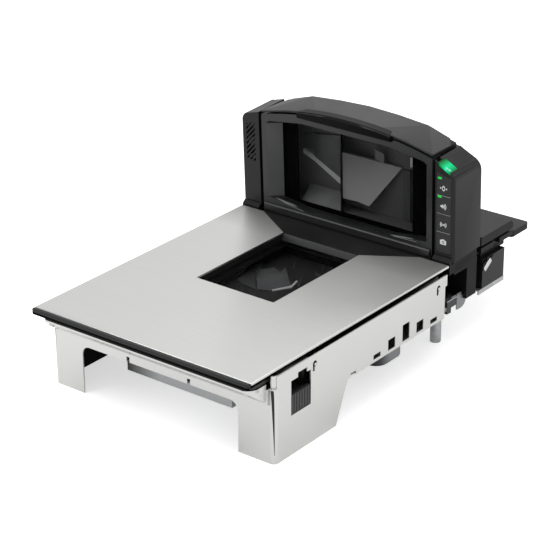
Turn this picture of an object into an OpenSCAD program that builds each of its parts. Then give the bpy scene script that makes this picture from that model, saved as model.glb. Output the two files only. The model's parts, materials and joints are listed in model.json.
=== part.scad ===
// In-counter scanner and scale: a flat weighing platter with a reading window in it,
// a folded steel chassis that hangs in the counter, and an upright reading tower with
// a keypad behind the platter. Sizes are in millimetres.
// Parts are drawn from the counter line: x to the right, y back from the platter's
// front edge, z up from the platter's top face. Tower parts use x, d (depth behind the
// tower's front face) and h (height above the platter), leaning with the tower.

/* [Platter] */
// Width of the platter
platter_w = 282; // [270:1:290]
// Length of the platter, front edge to rear edge
platter_l = 341; // [330:1:352]
// Thickness of the platter's sheet
platter_t = 2; // [1.5:0.1:2.6]
// Depth of the platter's folded edges, from its top face
fold_h = 5; // [4:0.5:6]
// Thickness of the trim bar along the front edge
trim_t = 5; // [3:0.5:8]
// Height of the trim bar
trim_h = 7; // [6:0.5:9]

/* [Reading window] */
// Sideways place of the window's middle
win_x = -3.4; // [-8:0.2:4]
// Width of the window in the platter
win_w = 102.6; // [94:0.2:108]
// Length of the window in the platter
win_l = 151; // [144:1:155]
// Distance from the window back to the platter's rear edge
apron_l = 35; // [30:1:38]
// Width of the platter's corner beside the flare of the cut-out
corner_w = 26.7; // [22:0.1:34]
// Depth of the window glass below the platter's top
glass_drop = 9; // [8:0.5:11]
// Thickness of the window glass
glass_t = 4; // [3:0.5:5]

/* [Scale] */
// Travel of the platter's carrier at full load
weigh_travel = 0.4; // [0.2:0.1:0.6]
// Thickness of the carrier
carrier_t = 5; // [4:0.5:6]
// Height of the rubber pads under the platter
pad_h = 4.7; // [4:0.1:6]
// Length of the load cell
cell_l = 120; // [100:1:124]
// Height of the load cell
cell_h = 22; // [18:1:26]

/* [Chassis] */
// Height of the platter's top above the floor of the well
deck_h = 101; // [96:1:112]
// Gap between the platter's edge and each side panel
side_gap = 3.5; // [2:0.5:6]
// Thickness of the chassis sheet
sheet_t = 1.5; // [1:0.1:2]
// Distance from the platter's front edge back to the front panel
front_y = 29.6; // [24:0.2:36]
// Depth of the side panels' lower edge below the platter's top
side_drop = 55.6; // [54:0.2:62]
// Depth of the front arch's top edge below the platter's top
arch_drop = 45.5; // [42:0.5:50]
// Width of the left front leg
left_leg_w = 41; // [34:0.5:50]
// Width of the right front leg
right_leg_w = 45.5; // [36:0.5:52]
// Length of each front leg along the floor
leg_l = 101; // [80:1:104]
// Depth of the pan's bottom below the platter's top
pan_drop = 77.5; // [72:0.5:84]
// Diameter of each rear foot
foot_d = 12.2; // [10:0.1:16]

/* [Tower] */
// Forward lean of the tower, in degrees
tower_tilt = 2.3; // [0:0.1:4]
// Height of the bezel's arched top at its middle
bezel_h = 131; // [126:1:138]
// Width of the bezel's face beside its opening
border_w = 6.6; // [5:0.2:11]
// Depth of the tower's end caps
tower_d = 48; // [42:0.5:56]
// Depth of the rear cover behind the end caps
back_d = 8.5; // [6:0.5:14]
// Depth of the window recess in the bezel
recess_d = 16; // [12:0.5:18]
// Wall thickness of the plastic covers
wall = 2.5; // [2:0.1:3]

/* [Keypad] */
// Height of the lowest key's middle
key_h0 = 22; // [20:0.5:24]
// Width of a key
key_w = 15; // [13:0.5:17]
// Gap between one key and the next
key_gap = 6.9; // [6:0.1:8]
// Travel of a key
key_travel = 0.6; // [0.3:0.1:1]

/* [Rear] */
// Length of the connector box, front to rear
box_l = 45; // [42:1:60]
// Height of the connector box
box_h = 34.8; // [32:0.2:36]
// Length of the raised block on the rear deck
block_l = 66; // [58:1:80]
// Length of the rear deck
deck_l = 101; // [90:1:120]
// Thickness of the rear deck's shelf
shelf_t = 7.2; // [6:0.2:9]
// Length of the latch lever
lever_l = 13; // [10:0.5:18]

/* [Clearances] */
// Gap between parts that move past each other
fit_gap = 0.3; // [0.2:0.05:0.5]
// Gap round a part that is pushed into another
slip = 0.15; // [0.1:0.05:0.3]
// Radial gap of a pin or stud in its hole
run_gap = 0.05; // [0.02:0.01:0.08]
// Width of the dark seams between the tower's covers
seam = 3.8; // [2:0.1:4.5]

/* [Hidden] */
$fn = 48;

// Widths that follow the platter
half_w = platter_w / 2;
panel_x = half_w + side_gap;
chassis_x = panel_x + sheet_t;

// Levels below the platter's top
carrier_top = -platter_t - fit_gap - pad_h;
carrier_bot = carrier_top - carrier_t;
under_clear = weigh_travel + 0.8;
frame_top = -platter_t - under_clear;
glass_bot = -glass_drop - glass_t;
ledge_t = 3;
frame_bot = glass_bot - ledge_t;
seal_t = 1;
tub_top = frame_bot - seal_t;
floor_top = -side_drop + sheet_t;
pan_floor = -pan_drop + sheet_t;
rear_top = floor_top + sheet_t;
ground = -deck_h;

// Plan of the chassis, front to rear
bend_r = 6;
side_top = -fold_h - 0.5;
side_rear = platter_l - 10;
floor_front = front_y + 16.4;
floor_rear = side_rear + 14;
lip_x = half_w - 3;
lip_front = 2;
lip_r = 14;
lip_z = -36;
lip_top = carrier_bot - weigh_travel - 0.6;
lip_run = front_y - lip_front;
lip_angle = atan2(lip_top - sheet_t - lip_z, lip_run);
pan_front = front_y + 33;
pan_rear = platter_l - 16;
pan_x = win_x;
pan_hw = win_w / 2 + 18.7;
lobe_x = half_w - 7;
lobe_l = 49;
lobe_r = 14;
leg_rear = front_y + leg_l;
leg_slant = 20;

// Window frame and optics
win_y = platter_l - apron_l - win_l;
win_x0 = win_x - win_w / 2;
win_x1 = win_x + win_w / 2;
win_rear = win_y + win_l;
win_mid = win_y + win_l / 2;
lobe_y = win_mid + 17;
frame_wall = 8;
frame_in = 0.7;
flare_l = apron_l + 5;
flare_w = half_w - win_w / 2 - corner_w;
tub_wall = 3;
tub_out = frame_wall + frame_in + 2;
tub_floor = pan_floor + tub_wall;
mirror_t = 3;

// Scale
stop_x = half_w - 11;
stop_y = [82, platter_l - 39];
stop_top = -21;
lug_bot = stop_top + weigh_travel + fit_gap;
cell_w = 30;
cell_y = pan_front + 0.58 * (win_y - tub_out - pan_front - cell_w);
cell_top = carrier_bot - 4;
cell_end = 30;
cell_x0 = pan_x - cell_l / 2;
cell_x1 = pan_x + cell_l / 2;
pad_x = half_w - 21;
pad_y = [30, platter_l - 31];

// Tower
tower_y = platter_l + 7;
arch_r = 446;
slab_t = 12;
cap_w = key_w + 8.5;
cap_x1 = half_w + 0.5;
cap_x0 = cap_x1 - cap_w;
left_r = 9.5;
left_top = bezel_h - 18;
right_r = 14;
right_lean = 62;
right_top = bezel_h - 23;
edge_r = 5;
bezel_hw = cap_x0 - seam;
open_hw = bezel_hw - border_w;
visor_hw = 0.545 * bezel_hw;
crease_x = 0.68 * bezel_hw;
glass_hw = open_hw - 8;
glass_h0 = 6;
glass_h1 = bezel_h - 16;
glass_d0 = recess_d + slip;
pane_t = 4;
seal_d0 = glass_d0 + pane_t;
seal_d1 = seal_d0 + 1.5;
clear_x = -2;
clear_hw = glass_hw - 22;
cover_gap = 1.2;
top_seam = 1;
cover_rise = 3.4;
house_hw = bezel_hw - 1;
house_back = tower_d - wall;
cavity_hw = house_hw - 11;
cavity_h0 = 4;
cavity_h1 = glass_h1 + 3;

// Keypad, on the right end cap
key_pitch = (right_top - key_h0 - 11.45) / 3.5;
key_l = key_pitch - key_gap;
key_x = cap_x0 + 0.45 * cap_w;
pad_hw = key_w / 2 + 1.7;
keypad_h0 = key_h0 - key_pitch / 2 - 2;
keypad_h1 = key_h0 + 3.5 * key_pitch + 6;
keypad_slope = 17;
flange = 0.7;
board_d = 7;
lens_x0 = cap_x0 + 3;
lens_x1 = cap_x1 - 5;
lens_d = 14;
lens_t = 3.3;

// Rear deck and connector box
tower_rear = tower_y + tower_d + back_d;
box_y0 = tower_rear + 5.5;
box_y1 = box_y0 + box_l;
box_top = rear_top + box_h;
deck_y0 = tower_rear + 1;
deck_y1 = deck_y0 + deck_l;
shelf_top = -4.7;
shelf_bot = shelf_top - shelf_t;
block_top = 10;
neck_in = 6;
neck_front = box_y0 + 4;
neck_rear = box_y1 + 8;
board_z = rear_top + wall + 6;
board_t = 1.6;
port_l = 16;
lever_y = box_y0 + 3.5;
lever_z = box_top - 5.7;
lever_w = 10.5;
lever_t = 2.5;
lever_angle = 38;
pin_r = 1.5;

// The whole part is centred front to rear and stands on the ground
y_mid = (deck_y1 - trim_t) / 2;

// Places the counter frame's origin in the part's own frame
module place() {
    translate([0, -y_mid, deck_h]) children();
}

// Places the leaning tower's frame
module tower_place() {
    place() translate([0, tower_y, 0]) rotate([tower_tilt, 0, 0]) children();
}

// A block between two corners
module block(a, b) {
    translate(a) cube(b - a);
}

// A plan rectangle with round corners
module round_rect(x0, y0, x1, y1, r) {
    translate([x0 + r, y0]) square([x1 - x0 - 2 * r, y1 - y0]);
    translate([x0, y0 + r]) square([x1 - x0, y1 - y0 - 2 * r]);
    for (x = [x0 + r, x1 - r], y = [y0 + r, y1 - r])
        translate([x, y]) circle(r = r);
}

// Extrudes a plan between two levels
module rise(z0, z1) {
    translate([0, 0, z0]) linear_extrude(z1 - z0) children();
}

// Extrudes a front view, drawn in x and z, between two depths
module through_y(y0, y1) {
    translate([0, y1, 0]) rotate([90, 0, 0]) linear_extrude(y1 - y0) children();
}

// Extrudes a side view, drawn in y and z, between two x places
module through_x(x0, x1) {
    translate([x0, 0, 0]) rotate([90, 0, 90]) linear_extrude(x1 - x0) children();
}

// Draws a part and its mirror image on the other side
module both_sides() {
    children();
    mirror([1, 0, 0]) children();
}

// Points of an arc, for outlines
function arc(cx, cy, r, a0, a1, n) =
    [for (i = [0:n]) [cx + r * cos(a0 + (a1 - a0) * i / n), cy + r * sin(a0 + (a1 - a0) * i / n)]];

// Chassis

module shell_plan() {
    rear = side_rear + 4 * bend_r;
    difference() {
        round_rect(-chassis_x, front_y, chassis_x, rear, bend_r);
        round_rect(-panel_x, front_y + sheet_t, panel_x, rear, bend_r - sheet_t);
        translate([-chassis_x - 1, side_rear]) square([2 * chassis_x + 2, 5 * bend_r]);
    }
}

// Side view of the sloping lip over the front panel, outer line and inner line
module lip_profile() {
    drop = sheet_t / cos(lip_angle);
    polygon([[front_y, lip_z], [lip_front, lip_top - sheet_t],
        [lip_front, lip_top - sheet_t + drop],
        [front_y + sheet_t, lip_z + drop - sheet_t * tan(lip_angle)],
        [front_y + sheet_t, lip_z - 1], [front_y, lip_z - 1]]);
}

module lip_plan() {
    round_rect(-lip_x, lip_front, lip_x, front_y + 2 * lip_r, lip_r);
}

// The lip with rounded plan corners, and the short walls that turn back from its ends
module front_lip() {
    intersection() {
        through_x(-lip_x, lip_x) lip_profile();
        rise(lip_z - 2, 0) lip_plan();
    }
    intersection() {
        rise(lip_z, lip_top) difference() {
            lip_plan();
            round_rect(-lip_x + sheet_t, lip_front + sheet_t, lip_x - sheet_t,
                front_y + 2 * lip_r, lip_r - sheet_t);
            translate([-lip_x + lip_r, 0]) square([2 * lip_x - 2 * lip_r, front_y + 3 * lip_r]);
        }
        through_x(-lip_x - 1, lip_x + 1) polygon([[front_y - 3, lip_z],
            [front_y - 3, lip_z + 3 * tan(lip_angle)], [lip_front, lip_top - sheet_t],
            [lip_front, 0], [front_y - 3, 0]]);
    }
}

// Windows in the side panels, tallest in the middle of the row
module side_windows() {
    pitch = 26.2;
    size = 12.6;
    bottom = -side_drop + 3.4;
    first = win_mid - 35;
    for (i = [0:4])
        translate([first + i * pitch, bottom]) square([size, 5 + 7 * (2 - abs(i - 2))]);
    // relief at the foot of the panel, behind the leg
    translate([leg_rear + leg_slant + 5, -side_drop - 1]) square([9, 5]);
    // access window beside the front overload stop
    translate([stop_y[0] - 26, lip_z - 21]) square([32, 38]);
    translate([stop_y[0] - 15, lip_z + 16]) square([15, 6]);
    // hooked slots for hanging the chassis on an assembly jig
    for (y = [stop_y[0] + 12.5, stop_y[1] + 12.5]) {
        translate([y, side_top - 10]) circle(r = 3.4);
        translate([y - 3.2, side_top - 17.5]) square([3.2, 8]);
    }
}

// Screw axes on the sloping lip
module lip_screw_places() {
    mid = [lip_front + 7.5, lip_top - sheet_t - 7.5 * tan(lip_angle)];
    for (x = [-lip_x + 11, lip_x - 11])
        translate([x, mid[0], mid[1]]) rotate([-lip_angle, 0, 0]) children();
}

module chassis_shell() {
    notch_x = [-42, 38];
    color("gainsboro") place() {
        difference() {
            union() {
                rise(ground, side_top) shell_plan();
                front_lip();
            }
            // arch between the front legs, with two relief notches
            through_y(front_y - 1, front_y + sheet_t + 0.5) {
                round_rect(-chassis_x + left_leg_w, ground - 40,
                    chassis_x - right_leg_w, -arch_drop, 10);
                for (x = notch_x)
                    translate([x - 2, -arch_drop - 1]) square([4, 7]);
            }
            // the front panel stops at the lip, and a slit parts the lip from the sides
            block([-chassis_x - 1, front_y - 0.5, lip_z], [-lip_x, front_y + 3, 0]);
            block([lip_x, front_y - 0.5, lip_z], [chassis_x + 1, front_y + 3, 0]);
            block([-chassis_x - 1, front_y - 1, lip_top - 6], [chassis_x + 1, front_y + 4, 0]);
            block([-lip_x, front_y + sheet_t, lip_z + 3], [lip_x, front_y + bend_r + 1, 0]);
            // lower outline of the sides behind the legs
            through_x(-chassis_x - 1, chassis_x + 1) {
                polygon([[leg_rear, ground - 1], [leg_rear, ground],
                    [leg_rear + leg_slant, -side_drop], [side_rear + 9, -side_drop],
                    [side_rear + 9, ground - 1]]);
                side_windows();
                translate([side_rear - 3.5, -side_drop - 1]) square([9, side_drop - 17]);
            }
            lip_screw_places() translate([0, 0, -5]) cylinder(r = 1.7, h = 10);
        }
        // tongue bent back from the arch to the pan's front wall
        block([notch_x[0] + 2, front_y + sheet_t / 2, -arch_drop],
            [notch_x[1] - 2, pan_front + sheet_t, -arch_drop + sheet_t]);
    }
}

// Outline of the pan's well: a long trough with a rounded lobe on each side
module pan_plan(inset) {
    translate([pan_x - pan_hw + inset, pan_front + inset])
        square([2 * (pan_hw - inset), pan_rear - pan_front - 2 * inset]);
    round_rect(-lobe_x + inset, lobe_y - lobe_l / 2 + inset,
        lobe_x - inset, lobe_y + lobe_l / 2 - inset, lobe_r - inset);
}

module base_pan() {
    color("darkgray") place() difference() {
        union() {
            block([-panel_x, floor_front, -side_drop], [panel_x, side_rear - 4, floor_top]);
            block([-panel_x + 6, side_rear - 5, -side_drop], [panel_x - 6, floor_rear, floor_top]);
            rise(-pan_drop, floor_top) pan_plan(0);
            block([pan_x - pan_hw, pan_front, -side_drop],
                [pan_x + pan_hw, pan_front + sheet_t, -arch_drop]);
        }
        rise(pan_floor, floor_top + 1) pan_plan(sheet_t);
    }
}

foot_x = half_w - 22.4;
foot_y = tower_y + 6;
stud_r = 4;
rim_h = 5.4;
skirt_y0 = tower_y + 30;
skirt_y1 = tower_rear - 7;

module rear_frame() {
    tab_x = half_w - 5;
    color("silver") place() difference() {
        union() {
            block([-half_w + 4, pan_rear + 1, floor_top], [half_w - 4, tower_rear, rear_top]);
            block([-half_w, tower_rear - 1, floor_top], [half_w, box_y1 + 1, rear_top]);
            both_sides() {
                block([tab_x - sheet_t, skirt_y0 - 21, floor_top],
                    [tab_x, skirt_y0 - 1, rear_top + 8]);
                block([half_w - sheet_t, tower_rear - 1, rear_top - rim_h],
                    [half_w, box_y1 + 1, rear_top]);
            }
        }
        for (x = [-foot_x, foot_x])
            translate([x, foot_y, floor_top - 1]) cylinder(r = stud_r + run_gap, h = 4);
    }
}

// Round rear foot whose stud screws into the rear frame
module rear_foot(x) {
    color("darkgray") place() translate([x, foot_y, ground]) {
        cylinder(d = foot_d, h = deck_h + floor_top - fit_gap);
        cylinder(r = stud_r, h = deck_h + rear_top + 5);
    }
}

module rear_foot_left() rear_foot(-foot_x);
module rear_foot_right() rear_foot(foot_x);

// Black posts with an adjusting screw on top, which catch an overloaded platter
module overload_stops() {
    color("#1c1c1e") place()
        for (x = [-stop_x, stop_x], y = stop_y)
            translate([x, y, floor_top]) {
                cylinder(r = 12, h = stop_top - 14 - floor_top);
                cylinder(r = 5.3, h = stop_top - floor_top);
            }
}

// Scale

module load_cell() {
    slot = cell_l / 3;
    color("silver") place() difference() {
        block([cell_x0, cell_y, cell_top - cell_h], [cell_x1, cell_y + cell_w, cell_top]);
        // the two joined bores that let the beam bend
        for (side = [-1, 1])
            translate([pan_x + side * slot / 3, cell_y - 1, cell_top - cell_h / 2])
                rotate([-90, 0, 0]) cylinder(r = cell_h / 2 - 4, h = cell_w + 2);
        block([pan_x - slot / 3, cell_y - 1, cell_top - cell_h / 2 - 3],
            [pan_x + slot / 3, cell_y + cell_w + 1, cell_top - cell_h / 2 + 3]);
    }
}

module load_cell_block() {
    color("dimgray") place() block([cell_x0, cell_y, pan_floor],
        [cell_x0 + cell_end, cell_y + cell_w, cell_top - cell_h]);
}

module scale_board() {
    y0 = pan_front + sheet_t + 3;
    y1 = cell_y - 4;
    color("darkgreen") place() {
        block([pan_x - 50, y0, pan_floor + 5], [pan_x + 45, y1, pan_floor + 5 + board_t]);
        for (x = [pan_x - 45, pan_x + 40])
            translate([x, (y0 + y1) / 2, pan_floor]) cylinder(r = 3, h = 6);
        for (chip = [[-20, -6, 9], [8, 26, 12]])
            block([pan_x + chip[0], (3 * y0 + y1) / 4, pan_floor + 6],
                [pan_x + chip[1], (y0 + 3 * y1) / 4, pan_floor + chip[2]]);
    }
}

// Black carrier under the platter, open round the reading window, with a lug over each stop
module weigh_frame() {
    arm = frame_wall + frame_in + 2.5;
    color("#202022") place() {
        rise(carrier_bot, carrier_top) difference() {
            round_rect(-half_w + 4, lip_front + 0.5, half_w - 4, platter_l - 7, 10);
            translate([win_x0 - arm, win_y - arm]) square([win_w + 2 * arm, platter_l]);
        }
        for (x = [-stop_x, stop_x], y = stop_y)
            translate([x, y, lug_bot]) cylinder(r = 5.5, h = carrier_bot - lug_bot + 1);
    }
}

module cell_riser() {
    color("silver") place() block([cell_x1 - cell_end, cell_y, cell_top + weigh_travel + fit_gap],
        [cell_x1, cell_y + cell_w, carrier_bot]);
}

module platter_pads() {
    color("#101010") place()
        for (x = [-pad_x, pad_x], y = pad_y)
            translate([x, y, carrier_top]) cylinder(r = 9, h = pad_h);
}

// Platter

module window_cut() {
    translate([win_x0, win_y]) square([win_w, win_l + 0.1]);
    polygon([[win_x0, win_rear], [win_x1, win_rear],
        [win_x1 + flare_w, win_rear + flare_l], [win_x0 - flare_w, win_rear + flare_l]]);
}

module platter() {
    color("lightgray") place() difference() {
        union() {
            rise(-platter_t, 0) translate([-half_w, 0]) square([platter_w, platter_l]);
            both_sides() block([half_w - platter_t, 0, -fold_h], [half_w, platter_l, -platter_t / 2]);
            block([-half_w, 0, -fold_h], [half_w, platter_t, -platter_t / 2]);
        }
        rise(-fold_h - 1, 1) window_cut();
    }
}

module front_trim() {
    color("#3c3d3f") place() rise(-trim_h, 0) {
        round_rect(-half_w, -trim_t, half_w, 0, 2.2);
        translate([-half_w + 2.2, -trim_t / 2]) square([platter_w - 4.4, trim_t / 2]);
    }
}

// Reading window in the platter

module frame_plan(grow) {
    translate([win_x0 - grow, win_y - grow])
        square([win_w + 2 * grow, win_l + grow + max(grow - frame_in, 0)]);
}

module window_frame() {
    color("#242527") place() difference() {
        rise(frame_bot, frame_top) frame_plan(frame_wall + frame_in);
        rise(glass_bot, 0) frame_plan(frame_in);
        rise(frame_bot - 1, 0) frame_plan(frame_in - 4.7);
    }
}

module window_seal() {
    color("black") place() rise(tub_top, frame_bot) difference() {
        frame_plan(frame_wall - 1);
        frame_plan(frame_in - 4.7);
    }
}

module window_glass() {
    color("#20242a", 0.5) place() rise(glass_bot, -glass_drop) frame_plan(frame_in - slip);
}

module optics_tub() {
    color("#151517") place() difference() {
        rise(pan_floor, tub_top) frame_plan(tub_out);
        rise(tub_floor, 1) frame_plan(tub_out - tub_wall);
    }
}

// Mirrors that stand on the tub's floor and lean out to its walls
mirror_lean = 24;
side_low = win_w / 2 - 27.3;
side_hl = win_l / 2 - 35.5;
end_low = win_l / 2 - 31.5;
end_hw = win_w / 2 - 13.3;

module lean_profile(low) {
    top = tub_top - 2;
    polygon([[low, tub_floor], [low + mirror_t, tub_floor],
        [low + mirror_lean + mirror_t, top], [low + mirror_lean, top]]);
}

module lower_mirror_left() {
    color("#9aa0a6") place() translate([win_x, 0, 0]) mirror([1, 0, 0])
        through_y(win_mid - side_hl, win_mid + side_hl) lean_profile(side_low);
}

module lower_mirror_right() {
    color("#9aa0a6") place() translate([win_x, 0, 0])
        through_y(win_mid - side_hl, win_mid + side_hl) lean_profile(side_low);
}

module lower_mirror_front() {
    color("#9aa0a6") place() translate([0, win_mid, 0]) mirror([0, 1, 0])
        through_x(win_x - end_hw, win_x + end_hw) lean_profile(end_low);
}

module lower_mirror_rear() {
    color("#9aa0a6") place() translate([0, win_mid, 0])
        through_x(win_x - end_hw, win_x + end_hw) lean_profile(end_low);
}

module lower_imager() {
    hw = side_low - 5;
    color("darkgreen") place() block([win_x - hw, win_mid - hw, tub_floor],
        [win_x + hw, win_mid + hw, tub_floor + board_t]);
}

// Lens barrel with a stepped mouth
module lens_barrel(r, h) {
    difference() {
        cylinder(r = r, h = h);
        translate([0, 0, h - 2]) cylinder(r = r - 2.4, h = 3);
    }
}

module lower_lens() {
    color("#26282b") place() translate([win_x, win_mid, tub_floor + board_t]) lens_barrel(9, 11);
}

// Panel between the window and the tower's foot
module apron() {
    side = 1;
    color("#2c2d30") place() rise(frame_top, -1) intersection() {
        polygon([[win_x0 + side, win_rear], [win_x1 - side, win_rear],
            [win_x1 + 1.2 * flare_w - side, win_rear + 1.2 * flare_l],
            [win_x0 - 1.2 * flare_w + side, win_rear + 1.2 * flare_l]]);
        translate([-bezel_hw + 1, win_rear]) square([2 * bezel_hw - 2, tower_y + 1.5 - win_rear]);
    }
}

// Tower

module tower_base() {
    ledge_y = platter_l + 1.5;
    color("#2a2b2e") {
        tower_place() block([-half_w, 2, -slab_t], [half_w, tower_d, 0]);
        place() {
            block([-half_w, tower_y + 4, -slab_t - 3], [half_w, skirt_y1, -slab_t + 4]);
            both_sides() {
                block([cap_x0, skirt_y0, rear_top], [half_w, skirt_y1, -slab_t + 4]);
                block([cap_x0, ledge_y, -slab_t], [half_w, tower_y + 6, -1]);
                through_x(cap_x0, half_w) polygon([[ledge_y, -slab_t], [ledge_y, 2],
                    [tower_y - 1.2, 5.6], [tower_y - 1.2, -slab_t]]);
            }
        }
    }
}

// Front view of the tower between the end caps, under an arched top
module arch_plan(hw, top) {
    intersection() {
        translate([-hw, 0]) square([2 * hw, top]);
        translate([0, top - arch_r]) circle(r = arch_r, $fn = 240);
    }
}

// Housing that holds the upright window and its optics
module tower_frame() {
    color("#161618") tower_place() difference() {
        through_y(recess_d + fit_gap, tower_d) arch_plan(house_hw, bezel_h + cover_gap - fit_gap);
        block([-glass_hw - slip, 0, glass_h0], [glass_hw + slip, seal_d1, glass_h1 + slip]);
        block([-cavity_hw, 0, cavity_h0 + 6], [cavity_hw, house_back, cavity_h1]);
    }
}

module tower_glass() {
    color("#1d2126", 0.5) tower_place()
        block([-glass_hw, glass_d0, glass_h0], [glass_hw, seal_d0, glass_h1]);
}

// Black border behind the glass
module tower_seal() {
    color("black") tower_place() difference() {
        block([-glass_hw, seal_d0, glass_h0], [glass_hw, seal_d1, glass_h1]);
        block([clear_x - clear_hw, 0, glass_h0 + 6], [clear_x + clear_hw, tower_d, glass_h1 - 5]);
    }
}

// Plan of the slanted wall between the two light paths, in x and d
baffle_x = -0.2 * cavity_hw;
baffle_t = 1.6;
baffle_run = 0.15 * cavity_hw;

module baffle_plan(grow) {
    polygon([[baffle_x - baffle_t - grow, seal_d1], [baffle_x + grow, seal_d1],
        [baffle_x - baffle_run + grow, house_back], [baffle_x - baffle_run - baffle_t - grow, house_back]]);
}

module light_baffle() {
    color("#0f0f10") tower_place() rise(cavity_h0 + 6, cavity_h1) baffle_plan(0);
}

// Right mirror, from the slanted wall back to the housing's rear wall
module tower_mirror_right() {
    turn = 16.3;
    top = cavity_h1 - 35;
    color("#b4babf") tower_place() difference() {
        intersection() {
            through_y(seal_d1, house_back) polygon([[baffle_x, top], [0.45 * cavity_hw, top - 10],
                [0.09 * cavity_hw, 0.26 * top], [-0.043 * cavity_hw, 0.31 * top], [baffle_x, 0.33 * top]]);
            translate([0.266 * cavity_hw, house_back - 8, 0]) rotate([0, 0, turn])
                block([-200, 0, 0], [200, mirror_t, 200]);
        }
        rise(0, bezel_h) baffle_plan(fit_gap);
    }
}

// Left mirror and the strip below it, on the housing's rear wall
module tower_mirror_left() {
    right = baffle_x - baffle_run - baffle_t - fit_gap;
    top = cavity_h1 - 27;
    color("#7d8287") tower_place() through_y(house_back - mirror_t, house_back) {
        polygon([[-0.71 * cavity_hw, top - 5], [right, top], [right, 0.47 * top], [-0.71 * cavity_hw, 0.6 * top]]);
        polygon([[-0.87 * cavity_hw, 0.71 * top], [-0.71 * cavity_hw, 0.65 * top], [right, 0.45 * top],
            [right, 0.37 * top], [-0.71 * cavity_hw, 0.58 * top], [-0.87 * cavity_hw, 0.65 * top]]);
    }
}

// Sloping mirror on the floor of the left light path
module tower_mirror_floor() {
    base = cavity_h0 + 6;
    color("#8c9196") tower_place() difference() {
        through_x(-0.77 * cavity_hw, baffle_x)
            polygon([[seal_d1 + 2, base], [house_back - mirror_t - fit_gap, base],
                [house_back - mirror_t - fit_gap, base + 15]]);
        rise(0, bezel_h) hull() {
            baffle_plan(fit_gap);
            translate([baffle_x, seal_d1]) square([1, house_back - seal_d1]);
        }
    }
}

// Camera board on the cavity's right wall, its lens looking across at the mirrors
module upper_imager() {
    color("darkgreen") tower_place()
        block([cavity_hw - board_t, seal_d1 + 2, 0.2 * cavity_h1], [cavity_hw, house_back - 2, 0.6 * cavity_h1]);
}

module upper_lens() {
    color("#26282b") tower_place()
        translate([cavity_hw - board_t, (seal_d1 + house_back) / 2, 0.4 * cavity_h1])
            rotate([0, -90, 0]) lens_barrel(8, 9);
}

// Opening outline: flat in the middle, drawn in at the corners, shrinking with depth
module opening_slice(d) {
    hw = open_hw - 11 * d / recess_d;
    lift = 2.5 * d / recess_d;
    top = bezel_h - 15 - lift;
    bottom = 11.7 - lift;
    flat = 0.54 * open_hw;
    through_y(d, d + 0.1) polygon([[-hw, bottom + 5.3], [-flat, bottom], [flat, bottom],
        [hw, bottom + 5.3], [hw, top - 10], [hw - 4, top - 6.6], [flat, top],
        [-flat, top], [4 - hw, top - 6.6], [-hw, top - 10]]);
}

module front_bezel() {
    color("#303134") tower_place() {
        difference() {
            through_y(0, recess_d) arch_plan(bezel_hw, bezel_h - top_seam);
            hull() {
                opening_slice(-1);
                opening_slice(recess_d + 1);
            }
            // notches beside the visor's ends
            both_sides() through_y(-1, 5) polygon([[visor_hw + 6, bezel_h - 4.5],
                [visor_hw - 2, bezel_h - 9.4], [visor_hw - 9, bezel_h + 1], [visor_hw + 6, bezel_h + 1]]);
        }
        // strip along the foot
        through_x(-bezel_hw + 2, bezel_hw - 2)
            polygon([[0.5, 0.4], [-2.4, 0.4], [-2.4, 7.8], [-1.4, 9], [0.5, 9]]);
    }
}

// Front view of the blank visor at the middle of the top cover, its top on the cover's arch
module visor_plan() {
    foot = bezel_h - 7.4;
    top = bezel_h + cover_rise - 0.4;
    intersection() {
        polygon([[4 - visor_hw, foot], [visor_hw - 4, foot], [visor_hw - 1.5, foot + 1.5],
            [visor_hw, top], [-visor_hw, top], [1.5 - visor_hw, foot + 1.5]]);
        translate([0, top - arch_r]) circle(r = arch_r, $fn = 240);
    }
}

// What lies under the cover's arched underside
module under_arch(d0, d1) {
    translate([0, d0, bezel_h + cover_gap - arch_r]) rotate([-90, 0, 0])
        cylinder(r = arch_r, h = d1 - d0, $fn = 540);
}

// Fall of the tower's arch at a distance from the middle
function sag(x) = arch_r - sqrt(arch_r * arch_r - x * x);

// A slice of the cover at one depth, its top given by its fall at the middle, halfway to
// the crease, at the crease and at the end
module cover_slice(d, fall) {
    top = bezel_h + cover_rise;
    end = bezel_hw - 0.5;
    half = [[0, top - fall[0]], [crease_x / 2, top - fall[1]], [crease_x, top - fall[2]],
        [end, top - fall[3]], [end, top / 2]];
    through_y(d, d + 0.2) polygon(concat(half, [for (i = [4:-1:1]) [-half[i][0], half[i][1]]]));
}

module top_cover() {
    end = bezel_hw - 0.5;
    front = [0, sag(crease_x / 2), sag(crease_x), sag(end)];
    color("#3a3b3e") tower_place() {
        difference() {
            hull() {
                cover_slice(0.2, [for (f = front) f + 0.6]);
                cover_slice(1.6, front);
                cover_slice(tower_d - 0.2, [0.4, 2, 5.4, sag(end) + 2.1]);
            }
            under_arch(-1, tower_d + 1);
            // rear corners cut back
            both_sides() rise(bezel_h / 2, bezel_h + 20) polygon([[end + 1, tower_d - 13.5],
                [end + 1, tower_d + 1], [end - 9, tower_d + 1]]);
        }
        // the visor hangs over the bezel's upper edge
        difference() {
            intersection() {
                through_y(-5, 8) visor_plan();
                through_x(-bezel_hw, bezel_hw) polygon([[-2, bezel_h - 12], [-3.6, bezel_h + 1],
                    [-1.5, bezel_h + 4], [6, bezel_h + 4], [6, bezel_h - 12]]);
            }
            under_arch(-fit_gap, 9);
        }
    }
}

// Front views of the end caps
module left_plan(inset) {
    x0 = -cap_x1 + inset;
    x1 = -cap_x0 - inset;
    r = left_r - inset;
    rise_h = 4 - inset;
    polygon(concat([[x1, 0], [x1, left_top + rise_h]],
        arc(x0 + r, left_top - left_r, r, 90, 180, 10), [[x0, 0]]));
}

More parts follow.
